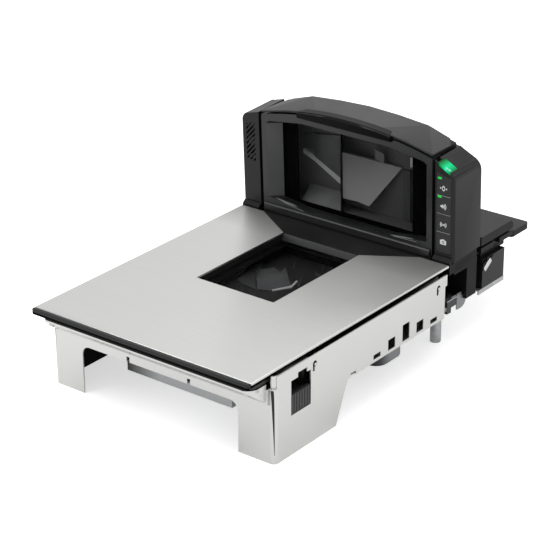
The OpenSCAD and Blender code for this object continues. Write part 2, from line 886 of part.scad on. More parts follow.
module right_plan(inset) {
    x0 = cap_x0 + inset / 2;
    x1 = cap_x1 - inset;
    r = right_r - inset;
    polygon(concat([[x1, 0]], arc(x1 - r, right_top - right_r, r, 0, right_lean, 8),
        [[x0, right_top + 7 - inset], [x0, 0]]));
}

// What is cut away to round the right cap's upright front edge
module front_corner() {
    rise(-1, bezel_h) difference() {
        translate([cap_x1 - edge_r, -1]) square([edge_r + 1, edge_r + 1]);
        translate([cap_x1 - edge_r, edge_r]) circle(r = edge_r);
    }
}

module left_cap() {
    slots = 10;
    slot_pitch = 6;
    grille_x0 = -cap_x1 + 5.3;
    grille_x1 = -cap_x0 - 6;
    color("#2e2f32") tower_place() difference() {
        through_y(0, tower_d) left_plan(0);
        through_y(wall, tower_d + 1) left_plan(wall);
        // slanted sound slots
        intersection() {
            through_y(-1, wall + 1) polygon([[grille_x0, left_top - 55.3], [grille_x1, left_top - 58.1],
                [grille_x1, left_top - 9.3], [grille_x0, left_top - 13.4]]);
            through_y(-2, wall + 2) for (i = [0:slots - 1])
                translate([(grille_x0 + grille_x1) / 2, left_top - 61 + i * slot_pitch]) rotate(48)
                    square([26, 1.9], center = true);
        }
    }
}

module speaker() {
    x_mid = -(cap_x0 + cap_x1) / 2;
    hw = cap_w / 2 - 3.75;
    color("#1a1a1b") tower_place() difference() {
        block([x_mid - hw, wall, left_top - 56], [x_mid + hw, wall + 12, left_top - 12]);
        for (h = [left_top - 45, left_top - 23])
            translate([x_mid, wall - 1, h]) rotate([-90, 0, 0]) cylinder(r = hw - 1.5, h = 5);
    }
}

module lens_plan(grow) {
    intersection() {
        difference() {
            right_plan(0);
            translate([0, -lens_t - grow]) right_plan(0);
        }
        translate([lens_x0 - grow, 0]) square([lens_x1 - lens_x0 + 2 * grow, 200]);
    }
}

module right_cap() {
    color("#2e2f32") tower_place() difference() {
        through_y(0, tower_d) right_plan(0);
        through_y(wall, tower_d + 1) right_plan(wall);
        through_y(-1, lens_d + slip) lens_plan(slip);
        through_y(-1, wall + 1) keypad_plan(slip);
        block([cap_x0 - 1, 1.2, right_top + 2], [lens_x0 - slip, 9, right_top + 20]);
        front_corner();
    }
}

module status_lens() {
    color("#10c05a") tower_place() difference() {
        through_y(0, lens_d) lens_plan(0);
        front_corner();
    }
}

// Keypad

// Outline of the keypad, its top edge sloping like the end cap's top
module keypad_plan(grow) {
    difference() {
        round_rect(key_x - pad_hw - grow, keypad_h0 - grow, key_x + pad_hw + grow, keypad_h1 + grow, 3);
        translate([key_x - pad_hw - 1, keypad_h1 + grow]) rotate(-keypad_slope) square([60, 30]);
    }
}

function key_h(i) = key_h0 + (3 - i) * key_pitch;

module light_places() {
    for (i = [0, 1])
        translate([key_x - key_w / 2 + 2.6, 0, key_h(i) + key_l / 2 + 2.6]) children();
}

module keypad_frame() {
    color("#3b3c3f") tower_place() difference() {
        union() {
            through_y(0.3, wall) keypad_plan(0);
            // separators between the keys
            for (i = [0:2])
                block([key_x - key_w / 2, 0, key_h(i) - key_pitch / 2 + 1.2],
                    [key_x + key_w / 2, 0.5, key_h(i) - key_pitch / 2 + 1.8]);
        }
        for (i = [0:3])
            translate([key_x, 0, key_h(i)])
                block([-key_w / 2 - fit_gap, -1, -key_l / 2 - fit_gap],
                    [key_w / 2 + fit_gap, wall + 1, key_l / 2 + fit_gap]);
        light_places() rotate([-90, 0, 0]) translate([0, 0, -1]) cylinder(r = 1.1 + slip, h = 5);
    }
}

// A key cap with a flange behind the frame and a stem over its switch
module key(i) {
    front = board_d - 2 - key_travel - fit_gap;
    color("#38393c") tower_place() translate([key_x, 0, key_h(i)]) {
        block([-key_w / 2, 0.1, -key_l / 2], [key_w / 2, wall + 1, key_l / 2]);
        block([-key_w / 2 - flange, wall + fit_gap, -key_l / 2 - flange],
            [key_w / 2 + flange, wall + 1.2, key_l / 2 + flange]);
        translate([0, wall, 0]) rotate([-90, 0, 0]) cylinder(r = 2, h = front - wall);
    }
}

module key_zero() key(0);
module key_volume() key(1);
module key_tag() key(2);
module key_camera() key(3);

// Circuit board of the keypad, with a switch under each key and two bosses to the cap
module keypad_board() {
    board_h1 = keypad_h1 - 5;
    color("darkgreen") tower_place() {
        block([key_x - key_w / 2 - 1, board_d, keypad_h0],
            [key_x + key_w / 2 + 1, board_d + board_t, board_h1]);
        for (i = [0:3])
            translate([key_x, board_d + 1, key_h(i)]) rotate([90, 0, 0]) cylinder(r = 3, h = 3);
        for (h = [keypad_h0 - 3, board_h1 - 3])
            block([key_x - 2, wall, h], [key_x + 6, board_d + board_t, h + 3]);
    }
}

module indicator_lights() {
    color("#12d060") tower_place() light_places() rotate([-90, 0, 0]) cylinder(r = 1.1, h = board_d);
}

// Rear

// Front view of the rear cover, a little lower than the end caps
module back_plan(inset) {
    fall = 4;
    top = bezel_h - 3 - inset;
    polygon(concat([[-cap_x1 + inset, 0]],
        arc(-cap_x1 + left_r, left_top - fall - left_r, left_r - inset, 180, 90, 8),
        [[-crease_x, top - 8], [-crease_x / 2, top - 1.8], [0, top],
        [crease_x / 2, top - 1.8], [crease_x, top - 8], [bezel_hw + 2, right_top + 2.7 - inset]],
        arc(cap_x1 - right_r, right_top - fall - right_r, right_r - inset, right_lean, 0, 8),
        [[cap_x1 - inset, 0]]));
}

back_r = 4;
back_flat = back_d - 2.5;

cover_screw_x = bezel_hw - 16;
cover_screw_h = [16, bezel_h - 31];

module cover_screw_places() {
    for (x = [-cover_screw_x, cover_screw_x], h = cover_screw_h)
        translate([x, tower_d + back_d, h]) rotate([90, 0, 0]) children();
}

module rear_cover() {
    color("#2c2d30") tower_place() difference() {
        hull() {
            through_y(tower_d, tower_d + back_flat) back_plan(0);
            through_y(tower_d + back_d - 0.2, tower_d + back_d) back_plan(back_r);
        }
        hull() {
            through_y(tower_d - 1, tower_d + back_flat - wall) back_plan(wall);
            through_y(tower_d + back_d - wall - 0.2, tower_d + back_d - wall) back_plan(back_r + wall);
        }
        cover_screw_places() cylinder(r = 1.7, h = 2 * back_d, center = true);
    }
}

// Pan-head screw, head on the surface and shank along +z
module screw(shank) {
    translate([0, 0, -1.8]) cylinder(r = 3, h = 1.8);
    cylinder(r = 1.5, h = shank);
}

module cover_screws() {
    color("#55565a") tower_place() cover_screw_places() screw(back_d - 0.2);
}

deck_screw_x = half_w - 26;

module deck_screw_places() {
    for (x = [-deck_screw_x, deck_screw_x], y = [deck_y0 + block_l + 9])
        translate([x, y, shelf_top]) rotate([180, 0, 0]) children();
}

// Space inside the neck, which opens into the box below and the deck's raised block above
module neck_hollow(z0, z1) {
    block([-half_w + neck_in + wall, neck_front + wall, z0],
        [half_w - neck_in - wall, box_y1 - 4, z1]);
}

module deck_neck() {
    color("#2c2d30") place() difference() {
        block([-half_w + neck_in, neck_front, box_top], [half_w - neck_in, neck_rear, shelf_bot]);
        neck_hollow(box_top - 1, shelf_bot + 1);
    }
}

module rear_deck() {
    slope = 4;
    rail_top = shelf_top + 2.2;
    color("#3a3b3e") place() {
        difference() {
            union() {
                // shelf, narrower under the raised block
                rise(shelf_bot, shelf_top)
                    round_rect(-half_w, deck_y0 + block_l - 2, half_w, deck_y1, 5);
                block([-half_w + neck_in, deck_y0, shelf_bot], [half_w - neck_in, deck_y0 + block_l, 1]);
                through_x(-half_w, half_w) polygon([[deck_y0, 0], [deck_y0, block_top - 1],
                    [deck_y0 + 1, block_top], [deck_y0 + block_l - slope, block_top],
                    [deck_y0 + block_l, block_top - slope], [deck_y0 + block_l, 0]]);
            }
            neck_hollow(shelf_bot - 1, block_top - wall);
            deck_screw_places() cylinder(r = 1.7, h = 4 * shelf_t, center = true);
        }
        // short rails below the raised block's side edges
        both_sides() {
            block([half_w - neck_in - 1, deck_y0, rail_top - 6], [half_w, deck_y0 + 26, rail_top]);
            block([half_w - neck_in - 1, deck_y0 + 38, rail_top - 6],
                [half_w, deck_y0 + block_l, rail_top]);
        }
    }
}

module deck_screws() {
    color("#55565a") place() deck_screw_places() screw(shelf_t + 3);
}

data_x = [for (i = [0:2]) -half_w + 49 + 24 * i];
usb_x = [data_x[2] + 28, data_x[2] + 48];
inlet_x = half_w - 81;
inlet_z = board_z + board_t + 8;
data_size = [16, 13.5];
usb_size = [14, 7.5];

module port_window(x, size) {
    block([x - size[0] / 2 - slip, box_y1 - wall - 1, board_z + board_t],
        [x + size[0] / 2 + slip, box_y1 + 1, board_z + board_t + size[1] + slip]);
}

module connector_box() {
    color("#37383b") place() difference() {
        block([-half_w, box_y0, rear_top], [half_w, box_y1, box_top]);
        block([-half_w + wall, box_y0 + wall, rear_top + wall],
            [half_w - wall, box_y1 - wall, box_top - wall]);
        neck_hollow(box_top - 2 * wall, box_top + 1);
        for (x = data_x) port_window(x, data_size);
        for (x = usb_x) port_window(x, usb_size);
        translate([inlet_x, box_y1 - wall - 1, inlet_z]) rotate([-90, 0, 0])
            cylinder(r = 6 + slip, h = 6);
        translate([half_w - 6, lever_y, lever_z]) rotate([0, 90, 0])
            cylinder(r = pin_r + run_gap, h = 9);
    }
}

module main_board() {
    y0 = box_y0 + wall + 3;
    y1 = box_y1 - wall - 0.5;
    color("darkgreen") place() {
        block([-half_w + 31, y0, board_z], [half_w - 41, y1, board_z + board_t]);
        for (x = [-half_w + 41, 0, half_w - 51], y = [y0 + 5, y1 - 5])
            translate([x, y, rear_top + wall]) cylinder(r = 3, h = board_z - rear_top - wall);
        block([-30, y0 + 3, board_z], [-6, y0 + 19, board_z + 5]);
        block([20, y0 + 4, board_z], [38, y0 + 16, board_z + 4]);
    }
}

// A jack with a socket in its rear face
module jack(x, size, inset, depth) {
    z = board_z + board_t;
    difference() {
        block([x - size[0] / 2, box_y1 - port_l, z], [x + size[0] / 2, box_y1, z + size[1]]);
        block([x - size[0] / 2 + inset, box_y1 - depth, z + inset],
            [x + size[0] / 2 - inset, box_y1 + 1, z + size[1] - inset]);
    }
}

module data_ports() {
    color("#8b8d90") place() {
        for (x = data_x) jack(x, data_size, 2, 12);
        for (x = usb_x) jack(x, usb_size, 1.2, 11);
    }
}

// Round power inlet
module power_inlet() {
    color("#222224") place() difference() {
        union() {
            translate([inlet_x, box_y1 - port_l, inlet_z]) rotate([-90, 0, 0])
                cylinder(r = 6, h = port_l);
            block([inlet_x - 5, box_y1 - port_l, board_z + board_t],
                [inlet_x + 5, box_y1 - wall - 0.6, inlet_z]);
        }
        translate([inlet_x, box_y1 - 11, inlet_z]) rotate([-90, 0, 0]) cylinder(r = 3.2, h = 12);
    }
}

module latch_lever() {
    tail = 5;
    color("silver") place() translate([half_w + fit_gap, lever_y, lever_z])
        rotate([lever_angle, 0, 0]) through_x(0, lever_t) difference() {
            round_rect(-tail, -lever_w / 2, lever_l - tail, lever_w / 2, 1.5);
            circle(r = pin_r + run_gap);
        }
}

module latch_pin() {
    color("dimgray") place() translate([half_w - 5, lever_y, lever_z]) rotate([0, 90, 0]) {
        cylinder(r = pin_r, h = 5 + lever_t + 2 * fit_gap + 0.5);
        translate([0, 0, 5 + lever_t + 2 * fit_gap]) cylinder(r = 2.8, h = 1.2);
    }
}

module lip_screws() {
    color("silver") place() lip_screw_places() screw(4);
}

chassis_shell();
base_pan();
rear_frame();
rear_foot_left();
rear_foot_right();
overload_stops();
load_cell();
load_cell_block();
scale_board();
weigh_frame();
cell_riser();
platter_pads();
platter();
front_trim();
window_frame();
window_seal();
window_glass();
optics_tub();
lower_mirror_front();
lower_mirror_rear();
lower_mirror_left();
lower_mirror_right();
lower_imager();
lower_lens();
apron();
tower_base();
tower_frame();
tower_glass();
tower_seal();
tower_mirror_right();
tower_mirror_left();
tower_mirror_floor();
light_baffle();
upper_imager();
upper_lens();
front_bezel();
top_cover();
left_cap();
speaker();
right_cap();
keypad_frame();
key_zero();
key_volume();
key_tag();
key_camera();
keypad_board();
indicator_lights();
status_lens();
rear_cover();
rear_deck();
deck_neck();
connector_box();
main_board();
data_ports();
power_inlet();
latch_lever();
latch_pin();
lip_screws();
cover_screws();
deck_screws();
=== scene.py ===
import json
import math

import bmesh
import bpy
from mathutils import Matrix, Vector

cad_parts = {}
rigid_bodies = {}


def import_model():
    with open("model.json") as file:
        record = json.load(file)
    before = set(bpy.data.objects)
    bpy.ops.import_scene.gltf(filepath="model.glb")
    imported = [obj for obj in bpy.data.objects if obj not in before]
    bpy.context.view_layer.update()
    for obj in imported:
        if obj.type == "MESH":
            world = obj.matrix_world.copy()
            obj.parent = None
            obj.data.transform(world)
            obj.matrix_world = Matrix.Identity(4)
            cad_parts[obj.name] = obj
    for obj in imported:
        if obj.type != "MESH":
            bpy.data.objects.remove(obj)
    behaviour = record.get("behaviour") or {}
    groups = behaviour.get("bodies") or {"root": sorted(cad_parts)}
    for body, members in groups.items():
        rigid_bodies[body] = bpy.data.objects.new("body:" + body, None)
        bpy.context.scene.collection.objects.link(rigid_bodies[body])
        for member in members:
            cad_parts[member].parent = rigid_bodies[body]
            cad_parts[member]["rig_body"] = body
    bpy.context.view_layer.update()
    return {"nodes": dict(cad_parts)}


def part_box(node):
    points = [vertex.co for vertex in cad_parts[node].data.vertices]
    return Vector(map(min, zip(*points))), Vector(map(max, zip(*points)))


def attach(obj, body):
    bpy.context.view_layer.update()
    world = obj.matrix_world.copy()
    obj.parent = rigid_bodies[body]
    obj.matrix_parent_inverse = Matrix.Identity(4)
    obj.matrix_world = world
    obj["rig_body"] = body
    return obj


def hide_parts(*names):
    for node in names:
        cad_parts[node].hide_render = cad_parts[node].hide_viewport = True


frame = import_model()

# Folded chassis that hangs in the counter: 1.5 mm stainless sheet, laser cut, bent into two
# front legs, two side panels and a sloping front lip. Its pale satin comes from fine vertical
# brushing under a soft polish. The side panels' inner faces are painted near black, a painted
# shade.

mm = 0.001


def tint(code):
    """A sRGB hex colour as linear red, green, blue and alpha."""
    parts = [int(code[i:i + 2], 16) / 255 for i in (1, 3, 5)]
    return [c / 12.92 if c <= 0.04045 else ((c + 0.055) / 1.055) ** 2.4 for c in parts] + [1.0]


def add(tree, kind, inputs=(), **settings):
    """Adds a shader node, with its settings, and its inputs as values or links."""
    node = tree.nodes.new("ShaderNode" + kind)
    for name, value in settings.items():
        setattr(node, name, value)
    for name, value in dict(inputs).items():
        if isinstance(value, bpy.types.NodeSocket):
            tree.links.new(value, node.inputs[name])
        else:
            node.inputs[name].default_value = value
    return node


def begin(name, colour, **sockets):
    """Starts a material and gives it with its node tree and its shader."""
    material = bpy.data.materials.new(name)
    material.use_nodes = True
    tree = material.node_tree
    shader = tree.nodes["Principled BSDF"]
    shader.inputs["Base Color"].default_value = tint(colour)
    for socket, value in sockets.items():
        shader.inputs[socket.replace("_", " ")].default_value = value
    return material, tree, shader


def noise(tree, size, detail):
    """A cloudy pattern of a size in mm, on the object's own coordinates."""
    place = add(tree, "TexCoord").outputs["Object"]
    cloud = add(tree, "TexNoise", {"Vector": place, "Scale": 1 / (size * mm), "Detail": detail})
    return cloud.outputs["Fac"]


def brushed(tree, sizes, detail):
    """Streaks with their lengths in mm along the three axes."""
    place = add(tree, "TexCoord").outputs["Object"]
    grain = add(tree, "Mapping", {"Vector": place, "Scale": [1 / (size * mm) for size in sizes]})
    streaks = add(tree, "TexNoise", {"Vector": grain.outputs[0], "Scale": 1.0, "Detail": detail})
    return streaks.outputs["Fac"]


def mapped(tree, value, start, end, low=0.0, high=1.0):
    """A value's run from start to end, turned into a run from low to high."""
    run = add(tree, "MapRange", {"Value": value, "From Min": start, "From Max": end,
                                 "To Min": low, "To Max": high})
    return run.outputs[0]


def varied(tree, shader, pattern, low, high, start=0.0, end=1.0):
    """Lets a pattern vary the roughness between two values."""
    tree.links.new(mapped(tree, pattern, start, end, low, high), shader.inputs["Roughness"])


def embossed(tree, shader, pattern, strength, depth=0.1):
    """Lets a pattern raise the surface, by a depth in mm."""
    bump = add(tree, "Bump", {"Height": pattern, "Strength": strength, "Distance": depth * mm})
    tree.links.new(bump.outputs[0], shader.inputs["Normal"])


def body_of(node):
    """The body that a CAD node rides on."""
    return frame["nodes"][node]["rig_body"]


def finished(bm, name, material, body):
    """Makes a piece of a bmesh, shades its rounded edges smooth and lets it ride on a body."""
    mesh = bpy.data.meshes.new(name)
    bm.to_mesh(mesh)
    bm.free()
    mesh.materials.append(material)
    mesh.shade_smooth()
    mesh.set_sharp_from_angle(angle=math.radians(38))
    piece = bpy.data.objects.new(name, mesh)
    bpy.context.scene.collection.objects.link(piece)
    evened = piece.modifiers.new("even_faces", "WEIGHTED_NORMAL")
    evened.keep_sharp = True
    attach(piece, body)
    return piece


def copied(node):
    """A merged copy of a CAD node's mesh, its flat faces made whole."""
    bm = bmesh.new()
    bm.from_mesh(frame["nodes"][node].data)
    bmesh.ops.remove_doubles(bm, verts=bm.verts, dist=0.002 * mm)
    bmesh.ops.dissolve_limit(bm, angle_limit=math.radians(0.2), verts=bm.verts, edges=bm.edges)
    return bm


def rounded(bm, width, steps=2, sharp=30, chosen=None):
    """Rounds the sharp edges of a mesh, or those of them that are chosen."""
    edges = [e for e in bm.edges if len(e.link_faces) == 2
             and e.calc_face_angle() > math.radians(sharp) and (chosen is None or chosen(e))]
    bmesh.ops.bevel(bm, geom=edges, offset=width, offset_type="OFFSET", affect="EDGES",
                    segments=steps, profile=0.5, material=-1, clamp_overlap=True)


def stands_for(bm, node, material):
    """Makes a piece that is shown in the place of a CAD node."""
    piece = finished(bm, node + "_shown", material, body_of(node))
    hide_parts(node)
    return piece


def softened(node, width, material, steps=2, sharp=30, chosen=None):
    """Stands for a CAD node: the same solid with its sharp edges rounded."""
    bm = copied(node)
    rounded(bm, width, steps, sharp, chosen)
    return stands_for(bm, node, material)


def dressed(node, material):
    """Gives a CAD node that stays in view its material."""
    mesh = frame["nodes"][node].data
    mesh.materials.clear()
    mesh.materials.append(material)


def partly(piece, material, chosen):
    """Gives the chosen faces of a piece a second material."""
    piece.data.materials.append(material)
    for face in piece.data.polygons:
        face.material_index = int(chosen(face))


def in_painted_shade(face):
    """Tells the inner faces of the side panels, which are painted dark as painted shade."""
    inward = face.normal.x * math.copysign(1, face.center.x) < -0.95
    return inward and abs(face.center.x) > 143.5 * mm


satin_steel, tree, shader = begin("satin_stainless_sheet", "#D6D6D4", Metallic=1.0)
streaks = brushed(tree, (0.5, 0.5, 40), 2.0)
blend = add(tree, "Math", {0: streaks, 1: noise(tree, 60, 2.0)}, operation="ADD")
varied(tree, shader, blend.outputs[0], 0.26, 0.40, 0.6, 1.4)
embossed(tree, shader, streaks, 0.06, 0.02)
# Painted shade: the side panels' inner faces get a near-black paint where they lie in shadow.
inner_shade, tree, shader = begin("painted_inner_panel_shade", "#0A0A0A", Roughness=0.7, Specular_IOR_Level=0.1)
varied(tree, shader, noise(tree, 4, 3.0), 0.6, 0.8)
partly(softened("chassis_shell", 0.3 * mm, satin_steel), inner_shade, in_painted_shade)

# Front corners of the chassis: the bend runs up past the lip as a narrow column with a pressed
# bead, and a thin dark strip runs down it to the foot, a painted reflection of something dark in
# the bend. A folded strip stiffens the side's top, and a rounded tongue is left standing in each
# hooked slot.

bend_x, bend_y, bend_r = 140, 35.6, 6
line_r, line_top, line_l = bend_r + 0.05, -20, 71
slot_y = 96, 316
sideways = Matrix.Rotation(math.radians(90), 4, "Y")


def counter(x, y, z):
    """A point in mm from the platter's front edge and its top, in the part's frame."""
    return Vector((x, y - 250.75, z + 101)) * mm


def both_sides(bm):
    """Repeats a right-hand piece on the left."""
    bmesh.ops.mirror(bm, geom=bm.verts[:] + bm.edges[:] + bm.faces[:], axis="X", merge_dist=0)
    bmesh.ops.recalc_face_normals(bm, faces=bm.faces[:])


def drawn_out(bm, faces, vec):
    """Draws flat faces out into solids."""
    made = bmesh.ops.extrude_face_region(bm, geom=faces)["geom"]
    bmesh.ops.translate(bm, verts=[v for v in made if isinstance(v, bmesh.types.BMVert)], vec=vec)


def quarter_turn(bm, inner, outer, bottom, top):
    """A quarter of a ring about the bend's axis, from the front round to the side."""
    section = [bm.verts.new(counter(bend_x, bend_y - r, z))
               for r, z in ((inner, bottom), (outer, bottom), (outer, top), (inner, top))]
    face = bm.faces.new(section)
    bmesh.ops.spin(bm, geom=section + list(face.edges) + [face], cent=counter(bend_x, bend_y, 0),
                   axis=(0, 0, 1), angle=math.radians(90), steps=8)


def box(bm, middle, sizes):
    """A block about a point, with its sizes in mm."""
    bmesh.ops.create_cube(bm, size=1, matrix=Matrix.Translation(middle)
                          @ Matrix.Diagonal([size * mm for size in sizes] + [1]))


def post(bm, segments, radius, height, place):
    """A round post of sizes in mm, its middle and axis given by a matrix."""
    bmesh.ops.create_cone(bm, cap_ends=True, segments=segments, radius1=radius * mm,
                          radius2=radius * mm, depth=height * mm, matrix=place)


bm = bmesh.new()
quarter_turn(bm, 4.5, bend_r, -37, -18)
quarter_turn(bm, 3.9, 5, -18, -4.8)
quarter_turn(bm, 4.8, bend_r, -19, -17.6)
web = bm.faces.new([bm.verts.new(counter(137.8, y, z)) for y, z in (
    (31, -37), (29.6, -36.6), (24.5, -32.4), (24.5, -17.6), (31, -17.6))])
drawn_out(bm, [web], (2.6 * mm, 0, 0))
both_sides(bm)
finished(bm, "chassis_corner_columns", satin_steel, "chassis")
# Painted reflection: a dark strip laid down each bend, standing in for something dark reflected
# there.
bend_reflection, tree, shader = begin("painted_bend_reflection", "#3A3A3A", Metallic=1.0)
varied(tree, shader, noise(tree, 3, 2.0), 0.4, 0.6)
bm = bmesh.new()
bmesh.ops.create_grid(bm, x_segments=4, y_segments=12, size=0.5)
for v in bm.verts:
    down = 0.5 - v.co.y
    middle, spread = 24 + 21 * down ** 0.6, 32 * (1 - 0.85 * down)
    turn = math.radians(middle + spread * v.co.x)
    v.co = counter(bend_x + line_r * math.sin(turn), bend_y - line_r * math.cos(turn),
                   line_top - line_l * down)
both_sides(bm)
finished(bm, "chassis_bend_reflections", bend_reflection, "chassis")
bm = bmesh.new()
box(bm, counter(143.6, 61.5, -7.4), (1.8, 50, 3.2))
rounded(bm, 0.5 * mm)
both_sides(bm)
finished(bm, "side_stiffeners", satin_steel, "chassis")
bm = bmesh.new()
for y in slot_y:
    post(bm, 24, 1.7, 1.2, Matrix.Translation(counter(145.2, y, -16.6)) @ sideways)
rounded(bm, 0.25 * mm)
both_sides(bm)
finished(bm, "slot_hooks", satin_steel, "chassis")

# Pressed floor pan, rear frame plate and turned rear feet: zinc plated mild steel, greyer and
# duller than the stainless chassis, with the cloudy spangle of plating. The pan's colour is painted
# darker at the front ends of its drawn lobes and at its front left corner, a painted shade.

spangle_mm = 7


def along(tree, axis):
    """A point's place along one of the object's axes."""
    place = add(tree, "TexCoord").outputs["Object"]
    return add(tree, "SeparateXYZ", {"Vector": place}).outputs[axis]


def shaded(tree, value, *stops):
    """A colour that runs through stops, each a place from 0 to 1 and a hex colour."""
    ramp = add(tree, "ValToRGB", {"Fac": value})
    points = ramp.color_ramp.elements
    for point, (place, code) in zip((points[0], points[1]), (stops[0], stops[-1])):
        point.position, point.color = place, tint(code)
    for place, code in stops[1:-1]:
        points.new(place).color = tint(code)
    return ramp.outputs[0]


def mixed(tree, factor, colour, code):
    """A colour that gives way to a second one by a factor."""
    mix = add(tree, "Mix", {"Factor": factor, "A": colour, "B": tint(code)}, data_type="RGBA")
    return mix.outputs["Result"]


zinc, tree, shader = begin("zinc_plated_steel", "#B4B6B7", Metallic=1.0)
spangle = noise(tree, spangle_mm, 4.0)
plating = shaded(tree, spangle, (0.3, "#A8AAAB"), (0.7, "#C0C2C3"))
tree.links.new(plating, shader.inputs["Base Color"])
varied(tree, shader, spangle, 0.32, 0.55)
for node, width in (("rear_frame", 0.35), ("rear_foot_left", 0.6), ("rear_foot_right", 0.6)):
    softened(node, width * mm, zinc)
pressed, tree, shader = begin("pressed_pan_steel", "#8A8C8D", Metallic=1.0)
spangle = noise(tree, spangle_mm, 4.0)
# Painted shade: a dark band across the front ends of the pan's drawn lobes.
lobe_shade = mapped(tree, along(tree, "Y"), -60 * mm, 30 * mm)
lobe_shade = add(tree, "Math", {0: spangle, 1: 0.05, 2: lobe_shade}, operation="MULTIPLY_ADD")
plating = shaded(tree, lobe_shade.outputs[0], (0, "#B4B6B7"), (0.3, "#B4B6B7"), (0.37, "#2C2D2E"),
                 (0.46, "#4A4B4C"), (0.6, "#86888A"), (1, "#8E9091"))
# Painted shade: darkening towards the pan's front left corner.
left = mapped(tree, along(tree, "X"), -74 * mm, -28 * mm, 0.92, 0.0)
front = mapped(tree, along(tree, "Y"), -120 * mm, -90 * mm, 1.0, 0.0)
corner = add(tree, "Math", {0: left, 1: front}, operation="MULTIPLY")
tree.links.new(mixed(tree, corner.outputs[0], plating, "#2C2D2E"), shader.inputs["Base Color"])
varied(tree, shader, spangle, 0.32, 0.55)
softened("base_pan", 0.7 * mm, pressed)

# Overload stops: grey moulded blocks that stand on the floor pan, with a black knob on each. The
# front ones carry a ribbed plate that shows in the side panel's window. The speaker is dressed in
# the same black.

post_black, tree, shader = begin("moulded_black_post", "#121213", Roughness=0.42)
embossed(tree, shader, noise(tree, 1.2, 3.0), 0.15)
dressed("speaker", post_black)
ribbed, tree, shader = begin("grey_ribbed_block", "#2E2F30", Roughness=0.45)
embossed(tree, shader, noise(tree, 1.2, 3.0), 0.15)
rib_step, rib_w = 4.3, 3
bm = bmesh.new()
for y in (83, 303):
    box(bm, counter(129, y, -48.3), (24, 36, 11.6))
box(bm, counter(142.9, 72, -46.1), (4, 31.4, 21.4))
for rib in range(7):
    box(bm, counter(145, 59.1 + rib_step * rib, -46.3), (0.8, rib_w, 20.8))
rounded(bm, 0.3 * mm, sharp=50)
both_sides(bm)
piece = finished(bm, "stop_blocks", ribbed, "chassis")
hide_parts("overload_stops")
bm = bmesh.new()
for y in slot_y:
    for radius, bottom, top in ((4, -43, -34), (5.6, -34, -24)):
        post(bm, 28, radius, top - bottom,
             Matrix.Translation(counter(129, y, (bottom + top) / 2)))
rounded(bm, 0.9 * mm, steps=3, sharp=50)
both_sides(bm)
finished(bm, "stop_knobs", post_black, "chassis")

# Load cell, its block and the riser over its free end: sawn and milled aluminium bar. The block
# stands on the floor pan, and the cutter's passes show as fine bands.

milled, tree, shader = begin("milled_aluminium", "#B9BBBD", Metallic=1.0)
place = add(tree, "TexCoord").outputs["Object"]
passes = add(tree, "TexWave", {"Vector": place, "Scale": 1 / (3 * mm), "Distortion": 1.5,
                               "Detail": 1.0}, bands_direction="X")
varied(tree, shader, passes.outputs["Fac"], 0.3, 0.42)
for node in ("load_cell", "load_cell_block", "cell_riser"):
    softened(node, 0.4 * mm, milled)

# Circuit boards: glass fibre under green solder mask, with traces showing as paler lines. They
# are shown as the CAD makes them.

board_green, tree, shader = begin("green_solder_mask", "#0F4A2A", Roughness=0.35)
place = add(tree, "TexCoord").outputs["Object"]
traces = add(tree, "TexBrick", {"Vector": place, "Color1": tint("#0F4A2A"),
                                "Color2": tint("#12552F"), "Mortar": tint("#1E7442"),
                                "Scale": 1 / (9 * mm), "Mortar Size": 0.03})
tree.links.new(traces.outputs["Color"], shader.inputs["Base Color"])
for node in ("scale_board", "lower_imager", "upper_imager", "keypad_board", "main_board"):
    dressed(node, board_green)

# Carrier under the platter: die cast aluminium, powder coated black, held up by the load cell's
# riser. The coat's orange peel is a shallow bump.

powder, tree, shader = begin("black_powder_coat", "#161617", Roughness=0.5)
embossed(tree, shader, noise(tree, 1.5, 2.0), 0.2)
softened("weigh_frame", 0.6 * mm, powder)

# Rubber pads between carrier and platter, the seal under the window's frame and the border behind
# the upright pane: black moulded rubber, dull, with a faint bloom, shown as the CAD makes them.

rubber, tree, shader = begin("black_rubber", "#020202", Roughness=0.8, Specular_IOR_Level=0.05)
varied(tree, shader, noise(tree, 4, 3.0), 0.7, 0.9)
for node in ("platter_pads", "window_seal", "tower_seal"):
    dressed(node, rubber)

# Weighing platter: 2 mm stainless sheet, folded down at the front and sides and brushed across.
# The brushing smears reflections towards the front, so its tangent follows a map laid along the
# sheet. Its colour is painted darker towards the tower, a painted shade and reflection of the dark
# tower, and its rolled side edges have the chassis's polish.

platter_steel, tree, shader = begin("brushed_stainless_platter", "#CACAC8", Metallic=1.0,
                                    Anisotropic=0.85)
sheet = shaded(tree, brushed(tree, (70, 0.6, 0.6), 3.0), (0.3, "#CACAC8"), (0.7, "#CFCFCD"))
# Painted shade and reflection: the platter's colour darkens towards the tower.
painted_tower_shade = mapped(tree, along(tree, "Y"), 35 * mm, 90 * mm, 0.0, 0.55)
tree.links.new(mixed(tree, painted_tower_shade, sheet, "#5E5E5D"), shader.inputs["Base Color"])
varied(tree, shader, noise(tree, 90, 2.0), 0.36, 0.42)
brushing = add(tree, "Tangent", direction_type="UV_MAP", uv_map="brushing")
tree.links.new(brushing.outputs[0], shader.inputs["Tangent"])
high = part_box("platter")[1]
rolled = high.z - 2.4 * mm


def on_fold(edge):
    """Tells the upper edges of the platter's folded sides."""
    a, b = (v.co for v in edge.verts)
    return min(abs(a.x), abs(b.x)) > high.x - 0.2 * mm and min(a.z, b.z) > high.z - 0.2 * mm


def cut_level(bm, level):
    """Cuts a mesh's faces where they cross a level."""
    bmesh.ops.bisect_plane(bm, geom=bm.verts[:] + bm.edges[:] + bm.faces[:],
                           plane_co=(0, 0, level), plane_no=(0, 0, 1))


